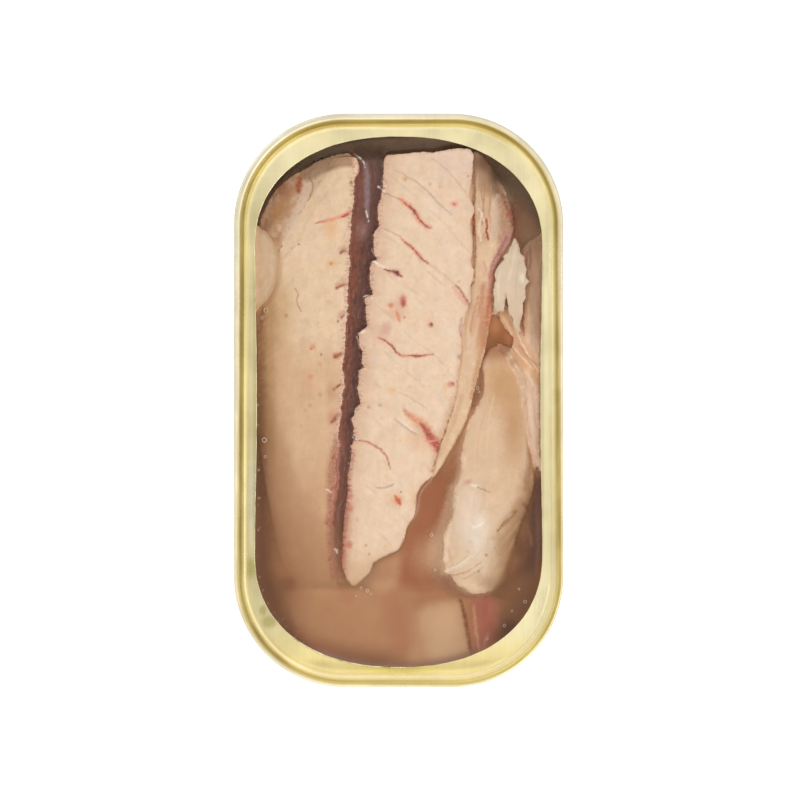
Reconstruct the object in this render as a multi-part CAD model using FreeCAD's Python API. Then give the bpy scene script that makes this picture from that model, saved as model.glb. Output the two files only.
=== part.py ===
import FreeCAD, Part
import math
import os

# An opened quarter-club tin of mackerel pieces in their own juice.
# Frame: millimetres, +Z up, +Y along the tin's long side, origin at the
# middle of the base, on the surface that the tin stands on.

# ---------------------------------------------------------------- the tin
LENGTH = 105.0          # over the double seam
WIDTH = 60.3            # over the double seam
HEIGHT = 29.0           # base to the top of the seam
CORNER = 20.3           # plan radius of the seam's outside
SHEET = 0.24            # aluminium sheet of the can and of the end

SEAM_H = 2.90           # height of the double seam
SEAM_EDGE = 0.34        # rounding of the seam's top and bottom edges
FOOT_INSET = 4.4        # where the flat base begins, in from the seam's outside
STEP_INSET = 2.5        # wall under the stacking step
STEP_Z = (3.0, 4.3)     # the stacking step
WALL_LOW = 1.62         # wall just over the step
CENTRE_INSET = 7.0      # where the swept wall gives way to the plain base plate

SINK_DEPTH = 3.40       # countersink under the seam's top
PANEL_DEPTH = 3.30      # torn end panel's upper face under the seam's top
SINK_IN, SINK_OUT = 1.62, 2.30

OPEN_HALF_X = 26.35     # opening left by the torn panel
OPEN_WAIST = 0.35       # how far its long sides are drawn in half-way along
OPEN_SHOULDER = 28.0    # where the long sides turn into the ends
OPEN_FAR = 48.35
OPEN_NEAR = 48.85
OPEN_POWER = 2.25       # superellipse of the two ends

# ----------------------------------------------------------- the contents
FLOOR = SHEET           # the pieces stand on the base
JUICE_Z = 21.6          # level of the juice
GROOVE = 1.3            # how far the dark muscle lies under the loins
SHOULDER = 1.25         # rounding of a piece's upper edges
HEEL = 3.0              # rounding of a piece's lower edges

PARTS = "parts"


def vec(x, y, z):
    return FreeCAD.Vector(x, y, z)


def save(name, shape):
    shape = shape.removeSplitter() if shape.Solids else shape
    solids = shape.Solids
    if len(solids) != 1:
        solids = sorted(solids, key=lambda s: s.Volume, reverse=True)
        print("NOTE", name, "came as", len(solids), "solids", [round(s.Volume, 2) for s in solids])
    body = solids[0]
    body.exportStep(os.path.join(PARTS, name + ".step"))
    box = body.optimalBoundingBox(True)
    print("%-14s %8.1f mm3 valid %s  x %.1f..%.1f y %.1f..%.1f z %.2f..%.2f faces %d" % (
        name, body.Volume, body.isValid(), box.XMin, box.XMax, box.YMin, box.YMax,
        box.ZMin, box.ZMax, len(body.Faces)))
    return body


# -------------------------------------------------- swept sheet-metal shapes
def profile(outline, place):
    """A closed face from (inset, z) points. An item of four numbers is an arc
    through its first two to its last two."""
    edges = []
    here = outline[0]
    rest = outline[1:]
    if math.hypot(rest[-1][-2] - here[0], rest[-1][-1] - here[1]) > 1e-9:
        rest = rest + [here]
    for item in rest:
        there = item[-2:]
        if len(item) == 4:
            edges.append(Part.Arc(place(*here), place(*item[:2]), place(*there)).toShape())
        else:
            edges.append(Part.LineSegment(place(*here), place(*there)).toShape())
        here = there
    return Part.Face(Part.Wire(edges))


def swept(outline):
    """Carry an (inset, z) profile once round the tin: four straights, four corners."""
    cx, cy = WIDTH / 2 - CORNER, LENGTH / 2 - CORNER
    runs = []
    # straight sides
    right = profile(outline, lambda d, z: vec(WIDTH / 2 - d, -cy, z)).extrude(vec(0, 2 * cy, 0))
    left = profile(outline, lambda d, z: vec(d - WIDTH / 2, -cy, z)).extrude(vec(0, 2 * cy, 0))
    back = profile(outline, lambda d, z: vec(-cx, LENGTH / 2 - d, z)).extrude(vec(2 * cx, 0, 0))
    front = profile(outline, lambda d, z: vec(-cx, d - LENGTH / 2, z)).extrude(vec(2 * cx, 0, 0))
    runs += [right, left, back, front]
    # corners
    for sx, sy, turn in ((1, 1, 90), (-1, 1, -90), (-1, -1, 90), (1, -1, -90)):
        start = profile(outline, lambda d, z: vec(sx * (WIDTH / 2 - d), sy * cy, z))
        runs.append(start.revolve(vec(sx * cx, sy * cy, 0), vec(0, 0, 1), turn))
    return runs[0].multiFuse(runs[1:])


def rounded_face(inset, z):
    """The tin's plan outline drawn in by inset, as a level face."""
    hx, hy, r = WIDTH / 2 - inset, LENGTH / 2 - inset, CORNER - inset
    cx, cy = hx - r, hy - r
    k = r * math.sqrt(0.5)
    edges = []
    for a, b in (((hx, -cy), (hx, cy)), ((cx, hy), (-cx, hy)), ((-hx, cy), (-hx, -cy)), ((-cx, -hy), (cx, -hy))):
        edges.append(Part.LineSegment(vec(a[0], a[1], z), vec(b[0], b[1], z)).toShape())
    for sx, sy in ((1, 1), (-1, 1), (-1, -1), (1, -1)):
        edges.append(Part.Arc(vec(sx * hx, sy * cy, z), vec(sx * (cx + k), sy * (cy + k), z),
                              vec(sx * cx, sy * hy, z)).toShape())
    return Part.Face(Part.Wire(Part.__sortEdges__(edges)))


def can_body():
    """Drawn can: base, corner radius, stacking step, tapering wall, and the
    flange folded down inside the seam."""
    t, top = SHEET, HEIGHT
    low, high = STEP_Z
    rb = FOOT_INSET - STEP_INSET
    k = rb * (1 - math.sqrt(0.5))
    ri = rb - t
    ki = ri * (1 - math.sqrt(0.5))
    seam_low = top - SEAM_H
    outline = [
        (CENTRE_INSET, 0.0),
        (FOOT_INSET, 0.0),
        (STEP_INSET + k, k, STEP_INSET, rb),
        (STEP_INSET, low),
        (WALL_LOW, high),
        (3 * t, seam_low),
        (3 * t, top - 2 * t),
        (2 * t, top - 2 * t),
        (2 * t, seam_low + t),
        (t, seam_low + t),
        (t, top - t),
        (4 * t, top - t),
        (4 * t, seam_low),
        (WALL_LOW + t, high),
        (STEP_INSET + t, low),
        (STEP_INSET + t, rb),
        (STEP_INSET + t + ki, t + ki, FOOT_INSET, t),
        (CENTRE_INSET, t),
    ]
    wall = swept(outline)
    plate = rounded_face(CENTRE_INSET, 0).extrude(vec(0, 0, t))
    return wall.fuse(plate)


def cavity(top):
    """The space inside the can up to a level."""
    t = SHEET
    low, high = STEP_Z
    rb = FOOT_INSET - STEP_INSET
    ri = rb - t
    ki = ri * (1 - math.sqrt(0.5))
    seam_low = HEIGHT - SEAM_H
    slope = (WALL_LOW - 3 * t) / (seam_low - high)
    outline = [
        (CENTRE_INSET, t),
        (FOOT_INSET, t),
        (STEP_INSET + t + ki, t + ki, STEP_INSET + t, rb),
        (STEP_INSET + t, low),
        (WALL_LOW + t, high),
        (WALL_LOW + t - slope * (top - high), top),
        (CENTRE_INSET, top),
    ]
    core = rounded_face(CENTRE_INSET, t).extrude(vec(0, 0, top - t))
    return swept(outline).fuse(core).removeSplitter()


def opening_outline(z):
    """The torn opening: long sides drawn in a little at the waist, superelliptic ends."""
    power = 2 / OPEN_POWER
    sides, turns = 8, 20
    points = []
    for sign, end in ((1, OPEN_FAR), (-1, OPEN_NEAR)):
        for i in range(1, sides):
            y = OPEN_SHOULDER * (2 * i / sides - 1)
            x = OPEN_HALF_X - OPEN_WAIST * (1 - (y / OPEN_SHOULDER) ** 2) ** 2
            points.append(vec(sign * x, sign * y, z))
        for i in range(turns + 1):
            a = math.pi * i / turns
            x = OPEN_HALF_X * math.copysign(abs(math.cos(a)) ** power, math.cos(a))
            y = OPEN_SHOULDER + (end - OPEN_SHOULDER) * abs(math.sin(a)) ** power
            points.append(vec(sign * x, sign * y, z))
    curve = Part.BSplineCurve()
    curve.interpolate(Points=points, PeriodicFlag=True)
    return Part.Face(Part.Wire([curve.toShape()]))


def end_ring():
    """What is left of the easy-open end: seam, chuck wall, countersink and
    the rim of its panel, torn along the score."""
    t, top, e = SHEET, HEIGHT, SEAM_EDGE
    low = top - SEAM_H
    k = e * (1 - math.sqrt(0.5))
    sink = top - SINK_DEPTH
    panel = top - PANEL_DEPTH
    edge = 3.0
    r = 5 * t
    outline = [
        (0.0, low + e),
        (0.0, top - e),
        (k, top - k, e, top),
        (r - e, top),
        (r - k, top - k, r, top - e),
        (r + 0.08, low + 0.5),
        (SINK_IN + 0.14, sink + 0.20),
        (SINK_IN + 0.31, sink + 0.045, SINK_OUT - 0.14, sink),
        (SINK_OUT + 0.36, panel),
        (edge, panel),
        (edge, panel - t),
        (SINK_OUT + 0.38, panel - t),
        (SINK_OUT - 0.12, sink - t),
        (SINK_IN + 0.07, sink - 0.08, SINK_IN - 0.10, sink + 0.12),
        (4 * t, low + 0.5),
        (4 * t, top - t),
        (t, top - t),
        (t, low + t),
        (2 * t, low + t),
        (2 * t, top - 2 * t),
        (3 * t, top - 2 * t),
        (3 * t, low),
        (e, low),
        (k, low + k, 0.0, low + e),
    ]
    ring = swept(outline)
    plate = rounded_face(edge, panel - t).extrude(vec(0, 0, t))
    plate = plate.cut(opening_outline(panel - 2).extrude(vec(0, 0, 4)))
    return ring.fuse(plate)


# ---------------------------------------------------------------- the fish
def blend(table, y, column):
    """A column of a station table at y, straight between its rows."""
    rows = sorted(table)
    if y <= rows[0][0]:
        return rows[0][column]
    for a, b in zip(rows, rows[1:]):
        if y <= b[0]:
            s = (y - a[0]) / (b[0] - a[0])
            return a[column] + (b[column] - a[column]) * s
    return rows[-1][column]


def section(y, xl, xr, zl, zc, zr, floor=FLOOR):
    """One cross-section of a piece of fish: flat underneath, rounded heels and
    shoulders, and a top that passes through three heights."""
    w = xr - xl
    rb = min(HEEL, 0.28 * w)
    rt = min(SHOULDER, 0.26 * w)
    mid = (xl + xr) / 2
    pts = [
        (xl + rb, floor),
        (xl + 0.22 * rb, floor + 0.42 * rb),
        (xl, floor + 1.3 * rb),
        (xl, 0.5 * (floor + zl)),
        (xl, zl - 1.1 * rt),
        (xl + 0.24 * rt, zl - 0.32 * rt),
        (xl + rt, zl),
        (0.5 * (xl + rt + mid), 0.5 * (zl + zc) + 0.10 * abs(zc - zl) + 0.08),
        (mid, zc),
        (0.5 * (xr - rt + mid), 0.5 * (zr + zc) + 0.10 * abs(zc - zr) + 0.08),
        (xr - rt, zr),
        (xr - 0.24 * rt, zr - 0.32 * rt),
        (xr, zr - 1.1 * rt),
        (xr, 0.5 * (floor + zr)),
        (xr, floor + 1.3 * rb),
        (xr - 0.22 * rb, floor + 0.42 * rb),
        (xr - rb, floor),
    ]
    curve = Part.BSplineCurve()
    curve.interpolate(Points=[vec(x, y, z) for x, z in pts], Parameters=KNOTS)
    sole = Part.LineSegment(vec(xr - rb, y, floor), vec(xl + rb, y, floor))
    return Part.Wire([curve.toShape(), sole.toShape()])


def shared_knots():
    """One knot spacing for every section, from the legs of a middling one, so
    that a loft through them keeps few poles."""
    legs = [2.0, 2.6, 7.0, 7.6, 1.2, 1.2, 2.6, 3.0]
    legs += list(reversed(legs))
    knots = [0.0]
    for leg in legs:
        knots.append(knots[-1] + leg)
    return [k / knots[-1] for k in knots]


KNOTS = shared_knots()


def piece(table, tip_low=1.3, tip_high=1.3, pitch=6.5, floor=FLOOR):
    """Loft a piece of fish through evenly spaced sections of its table, rows
    of (y, left, right, z left, z middle, z right). Its two ends round over."""
    rows = sorted(table)
    y0, y1 = rows[0][0], rows[-1][0]
    count = max(4, int(round((y1 - y0) / pitch)))
    ys = [y0 + (y1 - y0) * i / count for i in range(count + 1)]
    wires = []

    def at(y, shrink, drop):
        v = [blend(rows, y, c) for c in range(1, 6)]
        mid, half = (v[0] + v[1]) / 2, (v[1] - v[0]) / 2
        return section(y, mid - half * shrink, mid + half * shrink,
                       v[2] - drop, v[3] - drop, v[4] - drop, floor)

    for i, y in enumerate(ys):
        if i == 0:
            wires.append(at(y, 0.62, tip_low))
            wires.append(at(y + 0.9, 0.84, tip_low * 0.36))
        elif i == count:
            wires.append(at(y - 0.9, 0.84, tip_high * 0.36))
            wires.append(at(y, 0.62, tip_high))
        else:
            wires.append(at(y, 1.0, 0.0))
    return Part.makeLoft(wires, True, False, False, 3)


def strip_prism(grow=0.0):
    """The upright band between the two loins, from one end of the tin's
    fillet to the other."""
    rows = sorted(STRIP)
    edges = []
    ends = []
    for column, side in ((1, -1), (2, 1)):
        curve = Part.BSplineCurve()
        curve.interpolate([vec(r[column] + side * grow, r[0], -2) for r in rows])
        edges.append(curve.toShape())
        ends.append((vec(rows[0][column] + side * grow, rows[0][0], -2),
                     vec(rows[-1][column] + side * grow, rows[-1][0], -2)))
    for i in (0, 1):
        edges.append(Part.LineSegment(ends[0][i], ends[1][i]).toShape())
    return Part.Face(Part.Wire(Part.__sortEdges__(edges))).extrude(vec(0, 0, 40))


# Stations: y, left, right, height at the left, middle and right.
LOIN_LEFT = [
    (42.6, -13.2, -6.0, 22.9, 23.6, 23.8),
    (37.0, -16.9, -6.0, 22.9, 24.0, 23.9),
    (30.5, -21.4, -6.0, 22.6, 23.9, 23.9),
    (24.0, -23.6, -6.5, 22.3, 23.6, 23.8),
    (16.0, -25.3, -7.0, 21.9, 23.3, 23.7),
    (8.0, -26.6, -8.0, 21.4, 22.8, 23.5),
    (0.0, -26.9, -8.5, 21.0, 22.4, 23.3),
    (-8.0, -26.9, -9.0, 20.4, 21.9, 22.9),
    (-16.0, -25.8, -9.6, 19.6, 21.3, 22.4),
    (-23.0, -23.2, -10.4, 18.6, 20.5, 21.8),
    (-30.0, -19.8, -10.8, 17.4, 19.2, 20.8),
    (-35.2, -17.0, -11.0, 16.4, 17.6, 18.8),
]
LOIN_RIGHT = [
    (45.9, -3.5, 13.0, 23.4, 23.8, 23.0),
    (38.0, -5.0, 13.6, 23.7, 24.2, 23.4),
    (30.0, -6.0, 13.7, 23.8, 24.2, 23.5),
    (22.0, -7.0, 13.9, 23.8, 24.2, 23.5),
    (15.0, -7.5, 13.7, 23.7, 24.1, 23.4),
    (8.0, -8.0, 12.0, 23.6, 24.0, 23.2),
    (0.5, -8.6, 10.5, 23.4, 23.8, 23.0),
    (-7.0, -9.0, 8.2, 23.1, 23.6, 22.8),
    (-14.0, -9.6, 5.6, 22.9, 23.3, 22.6),
    (-21.0, -10.0, 2.5, 22.7, 22.9, 22.4),
    (-27.5, -10.6, -0.8, 22.4, 22.6, 22.2),
    (-34.0, -11.0, -6.6, 22.0, 22.1, 21.9),
]
STRIP = [
    (46.0, -8.0, -2.5),
    (38.0, -8.3, -3.2),
    (30.0, -8.8, -4.2),
    (22.0, -9.2, -5.5),
    (14.0, -9.7, -6.3),
    (6.0, -10.1, -6.9),
    (-2.0, -10.6, -7.8),
    (-10.0, -11.2, -8.6),
    (-18.0, -11.8, -9.3),
    (-26.0, -12.3, -10.2),
    (-34.6, -11.9, -10.7),
]
DARK = [
    (45.6, -9.5, -1.0, 22.5, 22.3, 22.5),
    (30.0, -10.4, -2.6, 22.8, 22.6, 22.8),
    (14.0, -11.3, -4.7, 22.7, 22.5, 22.7),
    (-2.0, -12.2, -6.2, 22.5, 22.4, 22.5),
    (-18.0, -13.4, -7.7, 22.3, 22.2, 22.3),
    (-26.0, -13.6, -8.4, 22.2, 22.1, 22.2),
    (-34.0, -13.5, -9.1, 22.1, 22.0, 22.1),
]
BELLY = [
    (44.6, 10.5, 16.0, 21.6, 22.3, 21.9),
    (38.0, 10.6, 19.4, 22.3, 22.8, 22.4),
    (32.0, 10.8, 19.8, 22.5, 23.0, 22.5),
    (24.0, 11.0, 18.0, 22.6, 23.0, 22.5),
    (16.0, 11.0, 16.6, 22.5, 22.8, 22.4),
    (8.0, 9.0, 15.2, 22.3, 22.5, 22.2),
    (0.0, 7.2, 13.3, 22.2, 22.4, 22.1),
    (-6.0, 5.4, 11.2, 22.0, 22.2, 21.9),
    (-11.4, 3.6, 8.0, 21.8, 21.9, 21.6),
]
WALL_STRIP = [
    (28.6, 23.4, 26.6, 22.2, 22.5, 22.3),
    (22.0, 22.6, 27.0, 22.5, 22.9, 22.6),
    (14.0, 21.8, 27.1, 22.7, 23.1, 22.8),
    (7.0, 21.2, 27.1, 22.8, 23.2, 22.8),
    (0.0, 22.4, 27.1, 22.6, 23.0, 22.6),
    (-7.0, 23.2, 27.0, 22.3, 22.6, 22.3),
    (-12.2, 23.9, 26.8, 21.9, 22.1, 21.9),
]
FLAKE = [
    (29.3, 20.0, 22.0, 22.6, 23.1, 22.7),
    (24.5, 17.6, 23.2, 23.0, 23.6, 23.1),
    (20.0, 17.2, 23.6, 23.2, 23.7, 23.2),
    (15.5, 17.6, 22.8, 23.0, 23.5, 23.0),
    (12.2, 19.6, 22.4, 22.6, 22.9, 22.5),
]
CHUNK = [
    (11.0, 15.6, 20.4, 21.6, 22.0, 21.8),
    (4.0, 14.2, 22.4, 22.2, 22.8, 22.3),
    (-3.0, 12.4, 23.8, 22.4, 23.2, 22.5),
    (-10.0, 11.2, 24.6, 22.6, 23.5, 22.5),
    (-17.0, 10.2, 24.2, 22.6, 23.6, 22.3),
    (-24.0, 9.1, 22.4, 22.6, 23.4, 22.0),
    (-30.0, 9.0, 20.0, 22.4, 23.0, 21.6),
    (-36.0, 11.2, 17.2, 21.9, 22.1, 21.2),
]
UPPER_FLESH = [
    (41.6, -20.4, -12.0, 21.6, 22.2, 22.3),
    (36.0, -23.8, -13.0, 21.9, 22.5, 22.6),
    (31.0, -24.4, -17.0, 22.0, 22.6, 22.6),
    (25.4, -23.8, -19.0, 21.8, 22.2, 22.2),
]
SIDE_SLIVER = [
    (31.4, -26.4, -24.6, 21.8, 22.1, 21.8),
    (26.0, -27.0, -22.6, 22.4, 22.9, 22.4),
    (20.0, -27.1, -22.2, 22.5, 23.0, 22.4),
    (15.4, -26.9, -23.8, 22.0, 22.3, 22.0),
]
SUNK_BLOCK = [
    (-35.4, 1.0, 12.6, 19.6, 20.0, 19.8),
    (-41.0, 0.4, 13.4, 19.9, 20.4, 20.1),
    (-48.4, 1.4, 13.7, 19.0, 19.5, 19.2),
]
SUNK_RED = [
    (-36.2, 16.0, 20.0, 18.6, 19.0, 18.6),
    (-41.5, 15.4, 20.4, 18.9, 19.4, 18.9),
    (-47.0, 14.8, 18.2, 18.5, 18.8, 18.5),
]


def main():
    os.makedirs(PARTS, exist_ok=True)
    for old in os.listdir(PARTS):
        if old.endswith(".step"):
            os.remove(os.path.join(PARTS, old))

    save("can_body", can_body())
    save("end_ring", end_ring())

    band = strip_prism()
    loin_left = piece(LOIN_LEFT).cut(band)
    loin_left = max(loin_left.Solids, key=lambda s: s.CenterOfMass.x * -1)
    loin_right = piece(LOIN_RIGHT).cut(band)
    loin_right = max(loin_right.Solids, key=lambda s: s.Volume)
    dark = piece(DARK).common(band)

    order = [
        ("loin_right", loin_right),
        ("loin_left", loin_left),
        ("dark_muscle", dark),
        ("thick_chunk", piece(CHUNK)),
        ("white_flake", piece(FLAKE)),
        ("wall_strip", piece(WALL_STRIP)),
        ("belly_flap", piece(BELLY)),
        ("upper_flesh", piece(UPPER_FLESH)),
        ("side_sliver", piece(SIDE_SLIVER)),
        ("sunk_block", piece(SUNK_BLOCK)),
        ("sunk_red", piece(SUNK_RED)),
    ]
    placed = []
    for name, solid in order:
        for other_name, other in placed:
            if solid.BoundBox.intersect(other.BoundBox):
                solid = solid.cut(other)
        solid = max(solid.Solids, key=lambda s: s.Volume)
        placed.append((name, save(name, solid)))

    juice = cavity(JUICE_Z).cut([solid for name, solid in placed])
    save("juice", juice)


main()
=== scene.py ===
import bpy
import math
import numpy as np
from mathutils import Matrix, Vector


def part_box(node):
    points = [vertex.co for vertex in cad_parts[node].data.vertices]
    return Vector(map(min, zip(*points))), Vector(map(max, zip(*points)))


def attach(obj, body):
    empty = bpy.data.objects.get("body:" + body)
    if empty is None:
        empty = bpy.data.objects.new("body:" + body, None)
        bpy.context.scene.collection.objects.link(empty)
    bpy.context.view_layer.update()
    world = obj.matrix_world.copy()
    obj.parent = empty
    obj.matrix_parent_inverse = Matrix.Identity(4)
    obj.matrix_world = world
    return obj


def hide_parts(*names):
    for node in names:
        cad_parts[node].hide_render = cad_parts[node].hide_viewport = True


# The looks of an opened tin of mackerel. Lengths are millimetres until a mesh
# is made, then metres. X runs across the tin, Y along it, Z up.

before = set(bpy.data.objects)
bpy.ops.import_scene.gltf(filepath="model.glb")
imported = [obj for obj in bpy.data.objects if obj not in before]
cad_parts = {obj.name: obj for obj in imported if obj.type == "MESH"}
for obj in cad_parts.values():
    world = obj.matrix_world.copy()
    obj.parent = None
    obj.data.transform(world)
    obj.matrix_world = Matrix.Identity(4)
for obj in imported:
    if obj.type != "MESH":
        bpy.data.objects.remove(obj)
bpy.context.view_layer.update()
MM = 0.001

ring_lo, ring_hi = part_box("end_ring")
juice_lo, juice_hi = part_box("juice")
TOP = ring_hi.z / MM
LEVEL = juice_hi.z / MM
FLOOR = juice_lo.z / MM
HALF_X = ring_hi.x / MM
HALF_Y = ring_hi.y / MM

STEP = 0.15
THIN = 1.35 * STEP
X0, X1, Y0, Y1 = -28.4, 28.4, -51.2, 51.2
gx = np.arange(X0, X1 + 1e-6, STEP)
gy = np.arange(Y0, Y1 + 1e-6, STEP)
X, Y = np.meshgrid(gx, gy)
SHAPE = X.shape


# ------------------------------------------------------------------ numbers
def lin(rgb):
    """0..255 display colour to linear light."""
    c = np.array(rgb, float) / 255.0
    return np.where(c <= 0.04045, c / 12.92, ((c + 0.055) / 1.055) ** 2.4)


def smooth(a, b, v):
    t = np.clip((v - a) / (b - a), 0, 1)
    return t * t * (3 - 2 * t)


def _lattice(seed, n=256):
    r = np.random.default_rng(seed)
    a = r.random((n, n)) * 2 * np.pi
    return np.cos(a), np.sin(a)


_lat = {}


def perlin(x, y, seed):
    if seed not in _lat:
        _lat[seed] = _lattice(seed)
    cx, cy = _lat[seed]
    xi, yi = np.floor(x).astype(int), np.floor(y).astype(int)
    xf, yf = x - xi, y - yi
    u, v = xf * xf * xf * (xf * (xf * 6 - 15) + 10), yf * yf * yf * (yf * (yf * 6 - 15) + 10)

    def g(ix, iy, dx, dy):
        i, j = ix % 256, iy % 256
        return cx[i, j] * dx + cy[i, j] * dy

    a = g(xi, yi, xf, yf)
    b = g(xi + 1, yi, xf - 1, yf)
    c = g(xi, yi + 1, xf, yf - 1)
    d = g(xi + 1, yi + 1, xf - 1, yf - 1)
    return 1.45 * ((a * (1 - u) + b * u) * (1 - v) + (c * (1 - u) + d * u) * v)


def fbm(x, y, size, seed, octaves=3):
    out, amp, tot = 0.0, 1.0, 0.0
    f = 1.0 / size
    for i in range(octaves):
        out = out + amp * perlin(x * f + 17.3 * i, y * f - 9.1 * i, seed + i)
        tot += amp
        amp *= 0.5
        f *= 2.03
    return out / tot


def curve(points, closed=False, step=0.5):
    """A dense Catmull-Rom line through points; a third number is carried along."""
    p = np.array(points, float)
    n = len(p)
    out = []
    for i in range(n if closed else n - 1):
        if closed:
            a, b, c, d = p[(i - 1) % n], p[i], p[(i + 1) % n], p[(i + 2) % n]
        else:
            a, b, c, d = p[max(i - 1, 0)], p[i], p[i + 1], p[min(i + 2, n - 1)]
        k = max(1, int(math.ceil(np.hypot(*(c - b)[:2]) / step)))
        t = (np.arange(k) / k)[:, None]
        out.append(0.5 * ((2 * b) + (c - a) * t + (2 * a - 5 * b + 4 * c - d) * t * t
                          + (-a + 3 * b - 3 * c + d) * t ** 3))
    if not closed:
        out.append(p[-1:])
    return np.vstack(out)


def window(pts, margin):
    lo, hi = pts[:, :2].min(0) - margin, pts[:, :2].max(0) + margin
    i0, i1 = np.searchsorted(gx, [lo[0], hi[0]])
    j0, j1 = np.searchsorted(gy, [lo[1], hi[1]])
    return slice(max(j0 - 1, 0), min(j1 + 1, len(gy))), slice(max(i0 - 1, 0), min(i1 + 1, len(gx)))


def near(poly, px, py, closed=False):
    """Distance from points to a line, and the carried number of its nearest point."""
    a = poly if closed else poly[:-1]
    b = np.roll(poly, -1, 0) if closed else poly[1:]
    best = np.full(px.shape, 1e9)
    val = np.zeros(px.shape)
    has = poly.shape[1] > 2
    for (p, q) in zip(a, b):
        dx, dy = q[0] - p[0], q[1] - p[1]
        l2 = dx * dx + dy * dy + 1e-12
        t = np.clip(((px - p[0]) * dx + (py - p[1]) * dy) / l2, 0, 1)
        d = (px - p[0] - t * dx) ** 2 + (py - p[1] - t * dy) ** 2
        m = d < best
        best = np.where(m, d, best)
        if has:
            val = np.where(m, p[2] + (q[2] - p[2]) * t, val)
    return np.sqrt(best), val


def inside(poly, px, py):
    odd = np.zeros(px.shape, bool)
    x1, y1 = poly[:, 0], poly[:, 1]
    x2, y2 = np.roll(x1, -1), np.roll(y1, -1)
    for a, b, c, d in zip(x1, y1, x2, y2):
        if b == d:
            continue
        cross = ((b > py) != (d > py)) & (px < (c - a) * (py - b) / (d - b) + a)
        odd ^= cross
    return odd


def outline_field(points, margin=4.4, far=-4.2, smooth_line=True):
    """Signed distance to a closed outline: positive inside, cut off at far outside."""
    poly = curve(points, True, 0.8) if smooth_line else np.array(points, float)
    field = np.full(SHAPE, far)
    w = window(poly, margin)
    d, _ = near(poly, X[w], Y[w], True)
    s = np.where(inside(poly, X[w], Y[w]), d, -d)
    field[w] = np.maximum(s, far)
    return field


# marks are laid on a plan that wavers a little, so none has a drawn edge
WX = 0.20 * fbm(X, Y, 1.3, 11, 3) + 0.10 * fbm(X, Y, 0.45, 21, 2)
WY = 0.20 * fbm(X, Y, 1.3, 31, 3) + 0.10 * fbm(X, Y, 0.45, 36, 2)
XM, YM = X + WX, Y + WY
FLECK = fbm(X, Y, 0.5, 46, 2)


def stroke(points, soft=0.5, rough=0.5):
    """A brush line: points of (x, y, half width). 1 on the line, 0 past its width."""
    pts = curve(points, False, 0.25)
    reach = max(max(p[2] for p in points), THIN) + 0.05
    m = np.zeros(SHAPE)
    w = window(pts, reach + 0.3)
    d, r = near(pts, XM[w], YM[w])
    r = np.maximum(r * (1 + 0.5 * rough * FLECK[w]), 0.02)
    weight = np.minimum(r / THIN, 1.0) * np.clip(1 + rough * FLECK[w], 0.2, 1.2)
    m[w] = (1 - smooth(1 - soft, 1.0, d / np.maximum(r, THIN))) * weight
    return m


def patch(points, soft):
    """A soft-edged area inside an outline."""
    return smooth(-soft, soft, outline_field(points, soft + 0.6, -soft - 0.5) + 0.25 * soft * fbm(X, Y, 1.6, 57, 3))


def blob(x, y, rx, ry=None, turn=0.0, soft=0.8):
    """An oval patch that fades out towards its edge."""
    ry = ry or rx
    c, s = math.cos(math.radians(turn)), math.sin(math.radians(turn))
    u, v = (XM - x) * c + (YM - y) * s, -(XM - x) * s + (YM - y) * c
    r = np.hypot(u / rx, v / ry) * (1 + 0.22 * FLECK)
    return 1 - smooth(1 - soft, 1.0, r)


def blur(a, sigma):
    """Gaussian blur over the grid, sigma in mm."""
    n = max(1, int(3 * sigma / STEP))
    k = np.exp(-0.5 * (np.arange(-n, n + 1) * STEP / sigma) ** 2)
    k /= k.sum()
    p = np.pad(a, ((n, n), (0, 0)), mode="edge")
    a = sum(k[i] * p[i:i + SHAPE[0]] for i in range(2 * n + 1))
    p = np.pad(a, ((0, 0), (n, n)), mode="edge")
    return sum(k[i] * p[:, i:i + SHAPE[1]] for i in range(2 * n + 1))


def laid(paint, shine):
    """Laid colour, less what its gloss adds, with painted light where the
    panel's edge shades it: the colour is raised there to lift that shadow."""
    edge_shadow_lift = 1 + 0.85 * np.exp(-np.maximum(EDGE, 0) / 1.1)
    return np.clip(paint.c * ALBEDO * edge_shadow_lift[..., None] - shine, 0.003, 0.95)


class Paint:
    """A field of linear colour that marks are laid on."""

    def __init__(self, rgb):
        self.c = np.tile(lin(rgb), SHAPE + (1,))

    def add(self, mask, rgb, strength=1.0):
        m = np.clip(mask * strength, 0, 1)[..., None]
        self.c = self.c * (1 - m) + lin(rgb) * m
        return self

    def scale(self, factor):
        self.c = self.c * factor[..., None]
        return self


# ----------------------------------------------------------- the tin's plan
# Opening in the torn panel: sides a little waisted, superelliptic ends.
OPEN = dict(half_x=26.35, waist=0.35, shoulder=28.0, far=48.35, near=48.85, n=2.25)


def opening_line():
    o, pts = OPEN, []
    p = 2 / o["n"]
    for sign, end in ((1, o["far"]), (-1, o["near"])):
        for i in range(1, 24):
            y = o["shoulder"] * (i / 12 - 1)
            pts.append((sign * (o["half_x"] - o["waist"] * (1 - (y / o["shoulder"]) ** 2) ** 2), sign * y))
        for i in range(49):
            a = math.pi * i / 48
            pts.append((sign * o["half_x"] * math.copysign(abs(math.cos(a)) ** p, math.cos(a)),
                        sign * (o["shoulder"] + (end - o["shoulder"]) * abs(math.sin(a)) ** p)))
    return np.array(pts)


EDGE = outline_field(opening_line(), 60.0, -6.0, smooth_line=False)

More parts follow.
